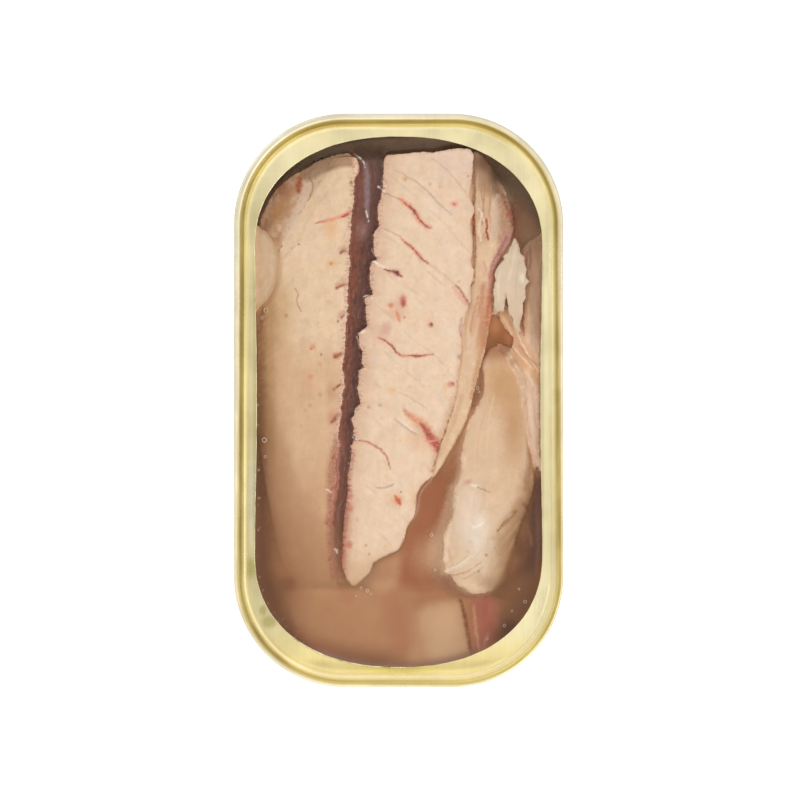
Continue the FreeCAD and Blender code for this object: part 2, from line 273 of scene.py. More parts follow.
# ------------------------------------------------- the fillet's dark muscle
STRIP_L = [(-8.89, 47.66), (-8.53, 45.83), (-7.89, 44.00), (-7.85, 42.66), (-8.10, 39.68), (-8.20, 38.14), (-8.07, 37.23),
           (-8.45, 35.14), (-8.73, 32.84), (-8.82, 29.73), (-9.15, 27.53), (-8.89, 25.34), (-8.98, 24.42), (-9.17, 22.23),
           (-9.29, 19.85), (-9.26, 17.11), (-9.53, 14.73), (-9.70, 12.90), (-9.81, 9.60), (-10.17, 7.04), (-10.30, 5.95),
           (-9.90, 4.12), (-9.81, 2.65), (-10.21, 1.37), (-10.45, -0.64), (-10.54, -2.47), (-10.81, -4.48), (-11.09, -6.49),
           (-10.72, -8.14), (-11.18, -10.15), (-11.40, -11.98), (-11.09, -14.00), (-11.45, -16.19), (-11.82, -18.20), (-12.28, -20.40),
           (-12.37, -22.59), (-12.18, -25.52), (-11.82, -28.45), (-11.64, -31.01), (-11.27, -33.39)]
STRIP_R = [(-2.31, 47.66), (-2.49, 45.83), (-2.67, 44.73), (-2.76, 42.17), (-2.85, 39.68), (-3.22, 37.23), (-3.59, 36.13), (-3.82, 35.49),
           (-3.82, 33.21), (-3.59, 31.92), (-4.32, 31.01), (-4.61, 30.10), (-4.61, 27.53), (-4.43, 26.75), (-3.92, 25.80),
           (-5.09, 25.34), (-5.31, 22.36), (-5.14, 20.95), (-4.76, 19.39), (-6.15, 18.75), (-6.00, 15.37),
           (-5.84, 13.45), (-7.34, 12.44), (-7.15, 10.15), (-6.62, 8.87), (-6.81, 6.68), (-6.24, 6.04),
           (-7.39, 5.49), (-7.32, 3.46), (-7.59, 2.29), (-7.32, 1.01), (-7.06, -0.57), (-7.94, -1.45),
           (-8.20, -2.84), (-8.78, -3.38), (-8.20, -4.85), (-8.29, -6.31), (-7.94, -6.86), (-8.64, -8.27),
           (-8.64, -9.97), (-8.89, -11.43), (-9.17, -12.90), (-9.35, -14.18), (-9.26, -16.37), (-9.62, -18.75), (-9.81, -20.22),
           (-10.08, -22.59), (-10.35, -25.52), (-10.45, -28.27), (-10.54, -30.28), (-11.00, -33.39)]


def line_x(points, wobble, seed):
    """x of a line that runs down the tin, at every grid row."""
    p = np.array(sorted(points, key=lambda q: q[1]))
    x = np.interp(gy, p[:, 1], p[:, 0])
    return (x + wobble * fbm(gy * 1.0, gy * 0 + 3.3, 0.9, seed, 3))[:, None]


strip_l = line_x(STRIP_L, 0.10, 41) + 0.26 * fbm(X * 0.5, Y, 0.80, 43, 3) + 0.12 * fbm(X, Y, 0.40, 47, 2)
strip_r = line_x(STRIP_R, 0.12, 42) + 0.20 * fbm(X * 0.5, Y, 0.80, 44, 3) + 0.14 * fbm(X, Y, 0.40, 48, 2)

# Stations of each piece: y, left, right, height at the left, middle, right.
STATIONS = {
    "loin_left": [(42.6, -13.2, -8.0, 22.7, 23.6, 23.8), (37.0, -16.9, -8.0, 22.6, 23.8, 23.9),
                  (30.5, -21.4, -8.4, 22.4, 23.7, 23.9), (24.0, -23.6, -8.8, 22.1, 23.4, 23.8),
                  (16.0, -25.3, -9.2, 21.6, 23.1, 23.7), (8.0, -26.6, -9.6, 21.2, 22.4, 23.5),
                  (0.0, -26.9, -10.2, 20.9, 22.0, 23.2), (-8.0, -26.9, -10.8, 20.5, 21.6, 22.6),
                  (-16.0, -25.8, -11.6, 20.6, 21.3, 21.8), (-23.0, -23.2, -12.2, 20.3, 21.0, 21.4),
                  (-29.0, -20.8, -12.2, 20.0, 20.8, 21.1), (-33.0, -19.0, -12.2, 19.4, 20.4, 20.8),
                  (-35.2, -17.0, -12.0, 18.8, 19.8, 20.2)],
    "loin_right": [(45.9, -2.6, 13.2, 23.4, 23.8, 23.1), (38.0, -3.2, 13.6, 23.7, 24.2, 23.5),
                   (30.0, -4.2, 13.7, 23.8, 24.2, 23.6), (22.0, -5.5, 13.9, 23.8, 24.2, 23.6),
                   (15.0, -6.3, 12.8, 23.7, 24.1, 23.4), (8.0, -6.9, 11.4, 23.6, 24.0, 23.2),
                   (0.5, -7.6, 10.2, 23.4, 23.8, 23.0), (-7.0, -8.4, 7.8, 23.1, 23.6, 22.9),
                   (-14.0, -9.1, 5.6, 22.9, 23.3, 22.7), (-21.0, -9.8, 2.5, 22.6, 22.9, 22.5),
                   (-27.5, -10.3, -0.8, 22.2, 22.5, 22.2), (-34.0, -10.8, -6.6, 21.7, 21.9, 21.8)],
    "belly_flap": [(44.6, 13.0, 16.0, 21.6, 22.1, 21.4), (38.0, 13.4, 19.4, 22.0, 22.5, 21.6),
                   (32.0, 13.6, 20.2, 22.2, 22.8, 22.0), (24.0, 13.6, 18.2, 22.4, 22.9, 22.3),
                   (16.0, 12.6, 16.4, 22.4, 22.8, 22.4), (8.0, 11.3, 15.6, 22.5, 22.7, 22.4),
                   (0.0, 10.2, 13.6, 22.5, 22.6, 22.3), (-6.0, 8.0, 11.6, 22.3, 22.4, 22.1),
                   (-13.0, 6.0, 8.0, 22.1, 22.2, 21.9)],
    "wall_strip": [(29.0, 23.4, 26.8, 21.5, 21.7, 21.6), (22.0, 23.4, 27.0, 21.6, 22.0, 21.8),
                   (14.0, 22.4, 27.1, 22.2, 22.6, 22.2), (7.0, 21.0, 27.1, 22.7, 23.0, 22.6),
                   (0.0, 22.6, 27.1, 22.6, 23.0, 22.6), (-7.0, 23.2, 27.0, 22.3, 22.6, 22.3),
                   (-12.2, 24.2, 26.8, 21.9, 22.1, 21.9)],
    "white_flake": [(29.3, 20.2, 22.2, 22.9, 23.1, 22.8), (24.5, 17.8, 23.2, 23.2, 23.6, 23.2),
                    (20.0, 17.3, 23.5, 23.4, 23.7, 23.3), (15.5, 17.6, 22.8, 23.2, 23.5, 23.1),
                    (12.2, 19.8, 22.4, 22.8, 23.0, 22.7)],
    "thick_chunk": [(11.0, 15.6, 20.4, 21.3, 21.6, 21.4), (4.0, 15.0, 22.8, 21.6, 22.0, 21.7),
                    (-3.0, 13.4, 23.4, 21.9, 22.3, 21.8), (-10.0, 11.6, 24.2, 22.2, 22.9, 21.9),
                    (-17.0, 10.6, 24.2, 22.2, 23.3, 21.8), (-24.0, 9.1, 22.4, 22.2, 23.2, 21.4),
                    (-30.0, 8.8, 20.6, 22.1, 22.8, 21.0), (-36.0, 10.8, 18.0, 21.7, 22.0, 20.8)],
    "upper_flesh": [(44.6, -16.0, -9.0, 21.7, 22.2, 22.5), (41.0, -20.6, -12.0, 21.6, 22.3, 22.8),
                    (36.0, -23.6, -16.0, 21.7, 22.4, 22.8), (31.0, -24.8, -18.0, 21.7, 22.4, 22.6),
                    (25.4, -23.4, -21.0, 21.8, 22.2, 22.4)],
    "side_sliver": [(31.4, -26.6, -23.6, 21.9, 22.2, 22.3), (26.0, -27.0, -22.2, 22.0, 22.4, 22.4),
                    (20.0, -27.1, -22.4, 21.9, 22.3, 22.3), (16.0, -27.0, -25.0, 21.8, 22.1, 22.1)],
    "sunk_block": [(-35.4, 0.5, 12.0, 20.6, 20.8, 20.8), (-41.0, 0.2, 12.8, 20.6, 20.9, 21.0),
                   (-49.0, -0.4, 13.8, 20.5, 20.8, 20.9)],
    "sunk_red": [(-35.0, 13.6, 19.0, 20.5, 20.9, 20.4), (-41.5, 13.4, 19.0, 20.6, 20.9, 20.2),
                 (-48.6, 14.0, 16.0, 20.8, 21.0, 20.6)],
}

OUTLINES = {
    "loin_left": [(-12.00, 42.66), (-10.17, 42.90), (-8.45, 43.01)]
    + [p for p in STRIP_L if p[1] < 42.72]
    + [(-12.37, -35.03), (-14.38, -35.95), (-16.94, -34.85), (-19.14, -32.47), (-20.97, -29.18), (-22.06, -25.52), (-23.16, -20.40), (-24.08, -15.46), (-24.99, -9.97),
       (-25.91, -3.57), (-26.64, 3.75), (-26.82, 9.24), (-26.27, 14.73), (-24.81, 18.02), (-23.53, 20.22), (-22.52, 22.41), (-22.12, 24.61),
       (-21.88, 27.17), (-21.15, 29.00), (-20.23, 30.83), (-19.32, 32.66), (-18.40, 34.30), (-17.40, 35.84), (-16.58, 37.05), (-15.66, 37.96),
       (-14.20, 39.79), (-12.92, 41.62)],
    "loin_right": [(-2.40, 44.64), (-0.48, 45.02), (2.09, 45.23), (4.28, 45.43), (6.48, 45.43), (8.12, 45.72), (10.87, 46.12),
                   (13.25, 45.83), (13.70, 44.37), (13.56, 42.90), (13.47, 41.16), (12.95, 37.60), (13.65, 35.58),
                   (13.85, 34.41), (13.06, 32.66), (13.47, 29.73), (13.52, 27.53), (13.15, 25.34), (13.79, 23.51), (13.15, 20.58),
                   (13.25, 18.39), (12.15, 15.46), (11.51, 11.98), (11.42, 8.14), (10.87, 3.75), (10.32, 0.09), (8.95, -4.30),
                   (7.76, -7.59), (7.03, -10.52), (6.38, -13.08), (5.74, -14.18), (4.37, -15.28), (3.31, -17.18), (3.11, -19.30),
                   (2.80, -21.19), (1.65, -22.85), (0.99, -25.16), (-0.04, -27.26), (-1.30, -27.90), (-3.40, -28.94),
                   (-4.59, -29.73), (-5.12, -31.19), (-6.70, -32.84), (-8.16, -34.03), (-9.07, -33.39), (-9.90, -31.92)]
    + [p for p in reversed(STRIP_R) if -31.38 < p[1] < 44.55],
    "belly_flap": [(13.79, 45.65), (15.62, 44.55), (17.09, 42.90), (18.37, 40.71), (19.47, 38.51), (20.38, 35.77), (21.11, 32.66), (20.75, 29.73),
                   (19.47, 27.17), (18.28, 25.16), (17.54, 22.78), (17.27, 20.03), (17.27, 17.47), (16.72, 14.54), (15.81, 9.24),
                   (14.34, 3.75), (13.25, -0.64), (12.07, -4.30), (11.05, -6.24), (9.22, -9.60), (7.76, -12.17), (6.11, -14.18),
                   (5.74, -12.71), (6.84, -9.42), (8.12, -5.40), (9.59, 0.09), (10.32, 4.12), (10.68, 8.14), (10.68, 11.98), (11.42, 15.46),
                   (12.51, 18.39), (12.33, 23.51), (12.33, 29.36), (12.33, 36.68), (12.51, 43.08)],
    "wall_strip": [(22.39, 27.53), (24.22, 29.36), (27.52, 30.10), (27.52, 18.39), (27.52, -11.25), (25.69, -12.26), (25.05, -11.43), (24.59, -9.97),
                   (23.86, -8.32), (23.78, -6.86), (23.27, -4.85), (23.42, -2.84), (23.02, -0.82), (23.23, 0.82), (22.69, 2.65),
                   (22.12, 4.85), (21.11, 6.59), (20.65, 7.96), (19.47, 8.96), (19.19, 9.70), (20.29, 9.33), (20.93, 10.15), (20.93, 11.43),
                   (20.01, 12.71), (18.92, 14.00), (18.29, 15.64), (18.19, 17.47), (19.47, 19.12), (21.11, 21.31), (21.84, 24.24)],
    "white_flake": [(21.22, 29.69), (20.65, 28.45), (20.01, 27.17), (19.14, 26.34), (19.32, 25.80), (18.37, 24.79), (17.56, 23.14),
                    (17.75, 22.05), (17.34, 20.03), (17.53, 18.39), (17.38, 16.56), (17.89, 15.83), (18.40, 16.34), (19.06, 16.12),
                    (19.43, 17.65), (19.61, 19.12), (19.94, 17.84), (20.05, 16.37), (20.78, 15.28), (21.04, 13.63), (21.75, 12.71), (22.30, 12.42),
                    (22.25, 14.36), (22.83, 16.19), (22.69, 17.65), (23.31, 18.94), (23.12, 20.76), (23.93, 21.86), (23.23, 22.59), (23.45, 24.06),
                    (23.02, 25.06), (22.98, 26.25), (22.28, 27.08), (21.95, 28.45)],
    "thick_chunk": [(16.36, 9.42), (15.08, 6.68), (15.44, 3.75), (15.44, 1.37), (14.07, -1.37), (12.79, -3.93), (11.87, -7.59), (11.42, -10.52),
                    (11.51, -13.08), (10.98, -14.54), (10.32, -16.01), (10.06, -18.20), (9.88, -21.50), (8.67, -23.69), (8.20, -25.70), (8.38, -27.17),
                    (8.05, -29.18), (8.49, -30.46), (8.21, -31.47), (9.40, -31.92), (10.04, -33.02), (11.05, -34.12), (12.06, -34.39), (13.06, -35.22), (15.26, -35.40), (18.00, -34.85),
                    (19.83, -32.66), (20.56, -29.73), (21.39, -26.98), (22.58, -23.33), (23.86, -19.48), (24.95, -15.28), (24.59, -11.98), (24.04, -7.23),
                    (23.67, -1.74), (23.49, 2.29), (22.21, 5.95), (20.38, 8.87), (18.19, 10.15)],
    "upper_flesh": [(-8.34, 44.18), (-9.81, 44.91), (-12.55, 44.27), (-14.93, 43.45), (-16.94, 42.17), (-18.95, 41.16), (-20.97, 39.61), (-22.52, 37.96),
                    (-23.89, 35.58), (-25.08, 32.84), (-25.17, 30.83), (-24.08, 29.73), (-23.16, 28.45), (-22.25, 26.07), (-20.60, 27.53), (-18.77, 30.46),
                    (-17.31, 33.39), (-15.48, 36.32), (-13.28, 38.88), (-11.09, 41.44), (-8.16, 41.80)],
    "side_sliver": [(-27.19, 30.83), (-25.17, 31.10), (-23.98, 30.10), (-23.07, 28.63), (-22.17, 26.62), (-22.21, 24.24), (-22.61, 22.05),
                    (-23.62, 19.48), (-25.17, 17.84), (-27.19, 17.11)],
    "sunk_block": [(0.44, -37.23), (5.38, -36.32), (9.77, -36.41), (11.32, -37.05), (12.06, -39.24), (12.42, -41.99), (12.97, -45.28),
                   (13.79, -51.13), (-1.21, -51.13), (-0.48, -43.82)],
    "sunk_red": [(13.34, -37.60), (14.16, -36.50), (16.36, -35.40), (18.55, -36.32), (19.28, -39.24), (18.55, -42.35), (17.09, -45.28), (15.62, -47.84),
                 (14.89, -51.13), (14.16, -51.13), (13.70, -45.65), (13.34, -41.62)],
}
SHOULDER = {"loin_left": 0.35, "loin_right": 0.45, "belly_flap": 0.4, "wall_strip": 0.4, "white_flake": 0.35,
            "thick_chunk": 0.8, "upper_flesh": 0.18, "side_sliver": 0.18, "sunk_block": 1.0, "sunk_red": 1.0}
RAGGED = {"loin_left": 0.06, "loin_right": 0.14, "belly_flap": 0.14, "wall_strip": 0.22, "white_flake": 0.17,
          "thick_chunk": 0.20, "upper_flesh": 0.22, "side_sliver": 0.10, "sunk_block": 0.08, "sunk_red": 0.10}
# pieces whose sides slope away under the juice all round
SLOPED = {"thick_chunk": 1.2}


def crown(rows):
    r = np.array(sorted(rows))
    xl, xr, zl, zc, zr = (np.interp(gy, r[:, 0], r[:, c])[:, None] for c in range(1, 6))
    u = np.clip((X - xl) / (xr - xl), 0, 1)
    return zl * (1 - u) * (1 - 2 * u) + zc * 4 * u * (1 - u) + zr * u * (2 * u - 1)


def rounded_drop(d, r, steep=6.0):
    """How far a surface has fallen at a distance inside its outline."""
    t = np.clip(1 - d / r, 0, 1)
    fall = 0.75 * r * (1 - np.sqrt(np.clip(1 - t ** 2.2, 0, 1)))
    return np.where(d >= 0, fall, 0.75 * r + steep * np.maximum(-d, 0))


fields, heights = {}, {}
for i, name in enumerate(OUTLINES):
    d = outline_field(OUTLINES[name])
    d = d + RAGGED[name] * (fbm(X, Y, 1.1, 60 + 7 * i, 3) + 0.6 * fbm(X, Y, 0.42, 64 + 7 * i, 2))
    fields[name] = d + (0.3 if name in ("side_sliver", "upper_flesh") else 0.0)

# The two loins meet the dark muscle along its own ragged edges.
in_rows_l = (Y < 42.90) & (Y > -34.67)
fields["loin_left"] = np.minimum(fields["loin_left"] + 0.35, np.where(Y > -36.50, strip_l - X, 9))
fields["loin_right"] = np.minimum(fields["loin_right"] + 0.0, np.where((Y > -32.47), X - strip_r, 9) + np.where(Y > -32.47, 0, 0))

# where a piece runs in under its neighbour it slopes gently and further
TUCKED = {"loin_left": ("side_sliver", "upper_flesh"), "wall_strip": ("white_flake", "thick_chunk"),
          "belly_flap": ("white_flake",)}
sinking, tuck = {}, {}
for name in OUTLINES:
    c = crown(STATIONS[name])
    w = 1 - smooth(-0.15, 0.45, c - 0.75 * SHOULDER[name] - LEVEL)
    steep = 1.1 + 5.0 * (1 - w)
    tuck[name] = np.zeros(SHAPE)
    for other in TUCKED.get(name, ()):
        tuck[name] = np.maximum(tuck[name], smooth(-0.9, -0.2, fields[other]))
    if name in SLOPED:
        steep = 1.1 + (SLOPED[name] - 1.1) * (1 - w)
        w = np.maximum(w, 0.45)
    sinking[name] = w
    drop = rounded_drop(fields[name], SHOULDER[name], steep)
    heights[name] = c - drop * (1 - tuck[name]) - (0.10 + 0.6 * np.maximum(0.35 - fields[name], 0)) * tuck[name]

# Dark muscle: a trough between the loins, open at the top of the fillet.
dark_d = np.minimum(X - strip_l, strip_r - X) + 0.9
dark_d = np.minimum(dark_d, Y - -33.57)
dark_d = np.minimum(dark_d, 47.11 - Y)
dark_floor = np.interp(gy, [-34, -28, -20, -8, 4, 20, 34, 41.5, 44, 46.5],
                       [20.6, 21.0, 21.5, 21.9, 22.1, 22.3, 22.3, 22.1, 21.5, 20.6])[:, None]
heights["dark_muscle"] = dark_floor - rounded_drop(dark_d, 0.5) + 0.10 * fbm(X * 1.4, Y * 0.6, 1.1, 90, 3)
fields["dark_muscle"] = dark_d
sinking["dark_muscle"] = np.zeros(SHAPE)
tuck["dark_muscle"] = np.zeros(SHAPE)

# ------------------------------------------------------ relief of the flesh
# Seams between the muscle's flakes leave the dark band and run outward and
# down, one every 6 mm or so.
mid_r, mid_l = strip_r, strip_l
SEAMS_R = [41.80, 38.14, 31.56, 25.34, 18.57, 11.62, 5.21, -0.82, -6.86, -13.45, -19.67, -25.52]
SEAMS_L = [39.79, 34.30, 27.53, 21.31, 15.46, 8.69, 2.29, -3.02, -9.42, -16.19, -22.23]


def seam_field(seams, run, slope, bend, seed):
    """Distance, across the seams, from the nearest one. run is how far a point
    lies from the dark band; slope and bend set how the seams fall away."""
    y0 = Y + slope * run + bend * run * run + 0.45 * fbm(X, Y, 5.0, seed, 2)
    best = np.full(SHAPE, 9.0)
    for s in seams:
        best = np.minimum(best, np.abs(y0 - s))
    return best / math.sqrt(1 + slope * slope), y0


run_r = np.maximum(X - mid_r, 0)
run_l = np.maximum(mid_l - X, 0)
seam_r, y0_r = seam_field(SEAMS_R, run_r, 0.62, 0.012, 101)
seam_l, y0_l = seam_field(SEAMS_L, run_l, 0.34, 0.020, 111)
lam_r = np.sin(y0_r * 2 * math.pi / 1.55 + 2.0 * fbm(X, Y, 3.0, 121, 2))
lam_l = np.sin(y0_l * 2 * math.pi / 1.55 + 2.0 * fbm(X, Y, 3.0, 131, 2))

crisp = 1 - smooth(-0.1, 0.7, LEVEL - heights["loin_left"])
breaks = smooth(-0.15, 0.45, fbm(X, Y, 4.2, 137, 2) + 0.12)
heights["loin_right"] += -0.07 * np.exp(-(seam_r / 0.26) ** 2) * breaks + 0.012 * lam_r * breaks + 0.09 * fbm(XM, YM, 2.0, 141, 4)
heights["loin_left"] += (-0.025 * np.exp(-(seam_l / 0.35) ** 2) * breaks + 0.006 * lam_l + 0.07 * fbm(XM, YM, 2.0, 151, 4)) * (0.3 + 0.7 * crisp)
heights["belly_flap"] += 0.10 * fbm(X * 2.2, Y * 0.5, 2.0, 161, 4)
heights["thick_chunk"] += 0.10 * fbm(X, Y * 0.7, 3.0, 171, 4)
heights["white_flake"] += 0.10 * fbm(X * 1.8, Y * 0.6, 2.0, 181, 4)
heights["wall_strip"] += 0.14 * fbm(X * 1.8, Y * 0.7, 2.0, 191, 4)
heights["upper_flesh"] += 0.14 * fbm(X, Y, 2.4, 201, 4)
heights["side_sliver"] += 0.05 * fbm(X, Y, 2.4, 211, 3)

# ------------------------------------------------------------- the colours
PALE = (230, 201, 171)
ALBEDO = 0.80
tones = {}


def mottled(base, seed, amount=1.0):
    p = Paint(base)
    p.add(smooth(0.0, 0.7, fbm(X, Y, 4.5, seed, 3)), (230, 192, 150), 0.45 * amount)
    p.add(smooth(0.0, 0.7, fbm(X, Y, 3.6, seed + 10, 3)), (232, 190, 166), 0.40 * amount)
    p.add(smooth(0.1, 0.8, fbm(X, Y, 2.8, seed + 20, 3)), (236, 211, 184), 0.45 * amount)
    p.add(smooth(0.0, 0.6, fbm(XM, YM, 1.7, seed + 22, 3)), (228, 184, 150), 0.42 * amount)
    p.add(smooth(0.0, 0.6, fbm(XM, YM, 1.5, seed + 24, 3)), (234, 212, 188), 0.45 * amount)
    p.add(smooth(0.05, 0.7, fbm(XM, YM, 0.9, seed + 25, 3)), (238, 208, 180), 0.30 * amount)
    p.add(smooth(0.05, 0.7, fbm(XM, YM, 1.0, seed + 27, 3)), (216, 172, 142), 0.26 * amount)
    p.scale(1 + 0.04 * fbm(XM, YM, 0.55, seed + 30, 2) * amount)
    return p


# right loin
t = mottled(PALE, 300)
t.add(np.exp(-(seam_r / 0.30) ** 2) * breaks, (206, 168, 142), 0.40)
# a pale line along one side of each seam: painted highlight on the flake's edge
t.add(np.exp(-((seam_r - 0.45) / 0.35) ** 2) * breaks, (240, 216, 192), 0.25)
t.add(smooth(0.3, 1.0, lam_r) * breaks, (218, 180, 150), 0.14)
t.add(1 - smooth(0.0, 1.3, fields["loin_right"]), (222, 178, 152), 0.35)
t.add(1 - smooth(0.4, 4.0, X - strip_r + 0.6 * fbm(X, Y, 2.0, 341, 2)), (214, 174, 144), 0.62)
t.add(blob(10.32, 44.00, 8, 5), (228, 200, 182), 0.5)
t.add(blob(-0.11, 16.74, 2.9, 3.9, 0, 1.0), (216, 164, 136), 0.62)
t.add(blob(-3.22, 11.98, 2.2, 3.0, 0, 1.0), (210, 164, 142), 0.55)
t.add(blob(3.55, -7.23, 4.2, 3.6, -40, 1.0), (222, 178, 142), 0.65)
t.add(stroke([(12.70, 5.21,1.2), (11.23, 1.56,1.6), (9.77, -2.10,2.0), (8.67, -5.76,2.2), (7.57, -9.42,2.0), (6.48, -12.71,1.4)], 1.0), (204, 160, 125), 0.70)
t.add(blob(-0.48, -18.20, 2.4, 2.2, 0, 1.0), (216, 160, 124), 0.55)
t.add(blob(3.55, -18.20, 1.6, 2.6, 0, 1.0), (206, 162, 128), 0.55)
t.add(blob(5.74, 14.73, 2.2, 1.6, 0, 1.0), (224, 184, 154), 0.5)
t.add(blob(6.84, 34.49, 5.0, 1.6, -35, 1.0), (236, 212, 190), 0.5)
t.add(blob(9.04, 27.53, 2.0, 4.4, 20, 1.0), (236, 212, 188), 0.45)
t.add(blob(9.04, 12.90, 2.2, 4.4, 10, 1.0), (236, 212, 188), 0.45)
t.add(blob(-0.11, -9.97, 4.2, 3.4, -20, 1.0), (236, 208, 180), 0.45)
t.add(stroke([(6.11, 44.37,0.16), (8.85, 42.17,0.18), (10.32, 40.52,0.2), (12.70, 37.41,0.14)], 0.8), (186, 150, 128), 0.45)
t.add(stroke([(-0.66, 42.17,0.14), (3.55, 39.79,0.24), (7.76, 35.77,0.26), (9.77, 33.94,0.14)], 0.8), (190, 160, 144), 0.75)
t.add(stroke([(-2.85, 38.14,0.3), (-1.21, 37.41,0.22), (0.62, 36.59,0.2)], 0.8), (176, 145, 128), 0.8)
t.add(stroke([(-2.85, 31.56,0.3), (-0.84, 30.64,0.25), (0.62, 29.73,0.2)], 0.8), (196, 160, 138), 0.7)
t.add(stroke([(5.38, 25.16,0.3), (8.12, 23.14,0.35), (10.50, 20.95,0.3)], 1.0), (205, 170, 144), 0.6)
# vessels
t.add(stroke([(0.07, 36.86,0.5), (1.72, 35.77,0.85), (3.00, 34.39,1.0), (4.10, 32.66,0.9), (5.74, 31.56,0.5)], 0.95), (226, 132, 104), 0.75)
t.add(stroke([(0.99, 36.22,0.16), (1.90, 35.58,0.3), (2.63, 34.85,0.42), (3.18, 34.03,0.42), (3.73, 33.21,0.25), (5.20, 31.74,0.24), (5.74, 31.50,0.1)], 0.85), (134, 70, 52), 0.85)
t.add(stroke([(0.44, 29.55,0.4), (2.45, 27.90,0.8), (3.92, 26.25,0.8), (5.38, 25.06,0.4)], 0.95), (226, 140, 112), 0.65)
t.add(stroke([(0.62, 29.36,0.12), (2.09, 28.27,0.32), (2.82, 27.53,0.26), (3.92, 26.25,0.3), (5.29, 25.10,0.14)], 0.85), (146, 82, 64), 0.8)
t.add(stroke([(-2.31, 23.78,0.3), (-1.21, 23.60,0.8), (-0.29, 23.33,1.15), (0.62, 22.78,0.5)], 0.95), (208, 128, 110), 0.75)
t.add(stroke([(-2.67, 23.87,0.16), (-1.39, 23.78,0.25), (-0.66, 23.51,0.5), (-0.20, 23.25,0.6), (0.44, 22.81,0.3)], 0.75), (112, 54, 50), 0.9)
t.add(blob(0.86, 18.20, 0.95, 1.8), (194, 104, 88), 0.85)
t.add(blob(0.86, 17.75, 0.6, 1.0), (170, 76, 66), 0.75)
t.add(blob(-1.39, 17.38, 0.75, 0.7), (206, 116, 92), 0.8)
t.add(stroke([(-0.48, 16.19,0.25), (-0.11, 15.46,0.6), (0.16, 14.54,0.3)], 0.9), (214, 128, 96), 0.7)
t.add(blob(1.08, 15.28, 0.35), (170, 110, 90), 0.7)
t.add(blob(5.93, 13.81, 0.85, 0.75), (206, 138, 116), 0.8)
t.add(blob(6.02, 13.85, 0.48), (150, 66, 48), 0.95)
t.add(blob(-2.21, 13.26, 1.3, 1.9), (210, 156, 138), 0.6)
t.add(stroke([(-3.77, 11.51,0.45), (-1.57, 10.34,0.5), (-0.48, 8.93,0.5), (0.62, 8.23,0.6), (3.73, 8.18,0.7), (6.29, 8.42,0.35)], 0.95), (222, 142, 116), 0.65)
t.add(stroke([(-3.40, 11.47,0.14), (-1.66, 10.34,0.25), (-0.84, 9.33,0.3), (-0.11, 8.51,0.14), (1.72, 8.23,0.14), (3.73, 8.14,0.32), (4.65, 8.29,0.12), (6.29, 8.42,0.1)], 0.7), (150, 80, 64), 0.85)
t.add(blob(10.23, 35.95, 1.2, 0.9), (222, 150, 130), 0.7)
t.add(blob(10.14, 35.95, 0.5), (205, 112, 96), 0.8)
t.add(blob(1.21, 40.52, 0.7), (200, 152, 108), 0.75)
t.add(blob(0.44, 40.98, 1.3, 0.9), (226, 186, 142), 0.5)
t.add(blob(12.70, 41.07, 0.3), (160, 140, 136), 0.8)
t.add(blob(5.74, 39.61, 0.45), (188, 166, 140), 0.6)
t.add(blob(7.57, 39.06, 0.5), (200, 172, 148), 0.6)
t.add(blob(-1.39, 2.01, 1.3, 1.0), (228, 188, 138), 0.75)
t.add(blob(9.59, 2.93, 1.1, 0.85), (204, 138, 116), 0.85)
t.add(blob(9.86, 3.02, 0.5), (170, 96, 80), 0.7)
t.add(blob(8.58, 2.29, 0.9, 1.1), (226, 176, 136), 0.6)
t.add(stroke([(0.37, 1.50,0.25), (2.45, 0.27,0.3), (5.12, -1.46,0.25)], 0.9), (200, 170, 146), 0.6)
t.add(stroke([(-0.66, -3.38,0.3), (0.80, -4.67,0.35), (3.18, -6.24,0.3)], 0.9), (186, 162, 150), 0.7)
t.add(stroke([(0.07, -3.38,0.15), (1.72, -4.67,0.2), (3.37, -5.95,0.15)], 0.9), (240, 218, 200), 0.7)
t.add(stroke([(0.99, -1.92,0.6), (2.63, -3.20,1.3), (4.46, -4.48,1.6), (5.74, -6.49,2.0), (6.84, -8.14,2.2), (7.03, -9.42,1.3)], 1.0), (214, 140, 106), 0.85)
t.add(stroke([(4.10, -4.30,0.4), (5.01, -5.40,0.8), (5.93, -6.86,1.15), (6.84, -7.96,1.25), (7.21, -9.06,0.7)], 0.9), (172, 78, 62), 0.9)
t.add(stroke([(4.65, -7.41,0.2), (5.74, -7.41,0.25), (6.84, -7.32,0.2)], 0.7), (226, 150, 140), 0.8)
t.add(stroke([(-8.53, -7.41,0.12), (-6.88, -7.32,0.2), (-4.50, -8.14,0.3), (-2.67, -9.60,0.26), (-1.85, -11.25,0.18), (-1.57, -12.71,0.1)], 0.7), (148, 82, 66), 0.85)
t.add(stroke([(-6.88, -7.32,0.4), (-4.50, -8.14,0.6), (-2.67, -9.60,0.5), (-1.85, -11.25,0.4)], 1.0), (222, 160, 136), 0.5)
t.add(blob(-0.11, -18.20, 1.15, 1.0, 30), (224, 150, 112), 0.8)
t.add(stroke([(-0.66, -17.47,0.35), (-0.11, -18.20,0.55), (0.35, -19.12,0.35)], 0.8), (200, 92, 58), 0.9)
t.add(blob(0.44, -16.74, 0.3), (120, 84, 60), 0.7)
t.add(stroke([(-4.13, -16.01,0.2), (-2.31, -15.92,0.35), (-0.84, -15.28,0.25)], 0.9), (178, 150, 132), 0.7)
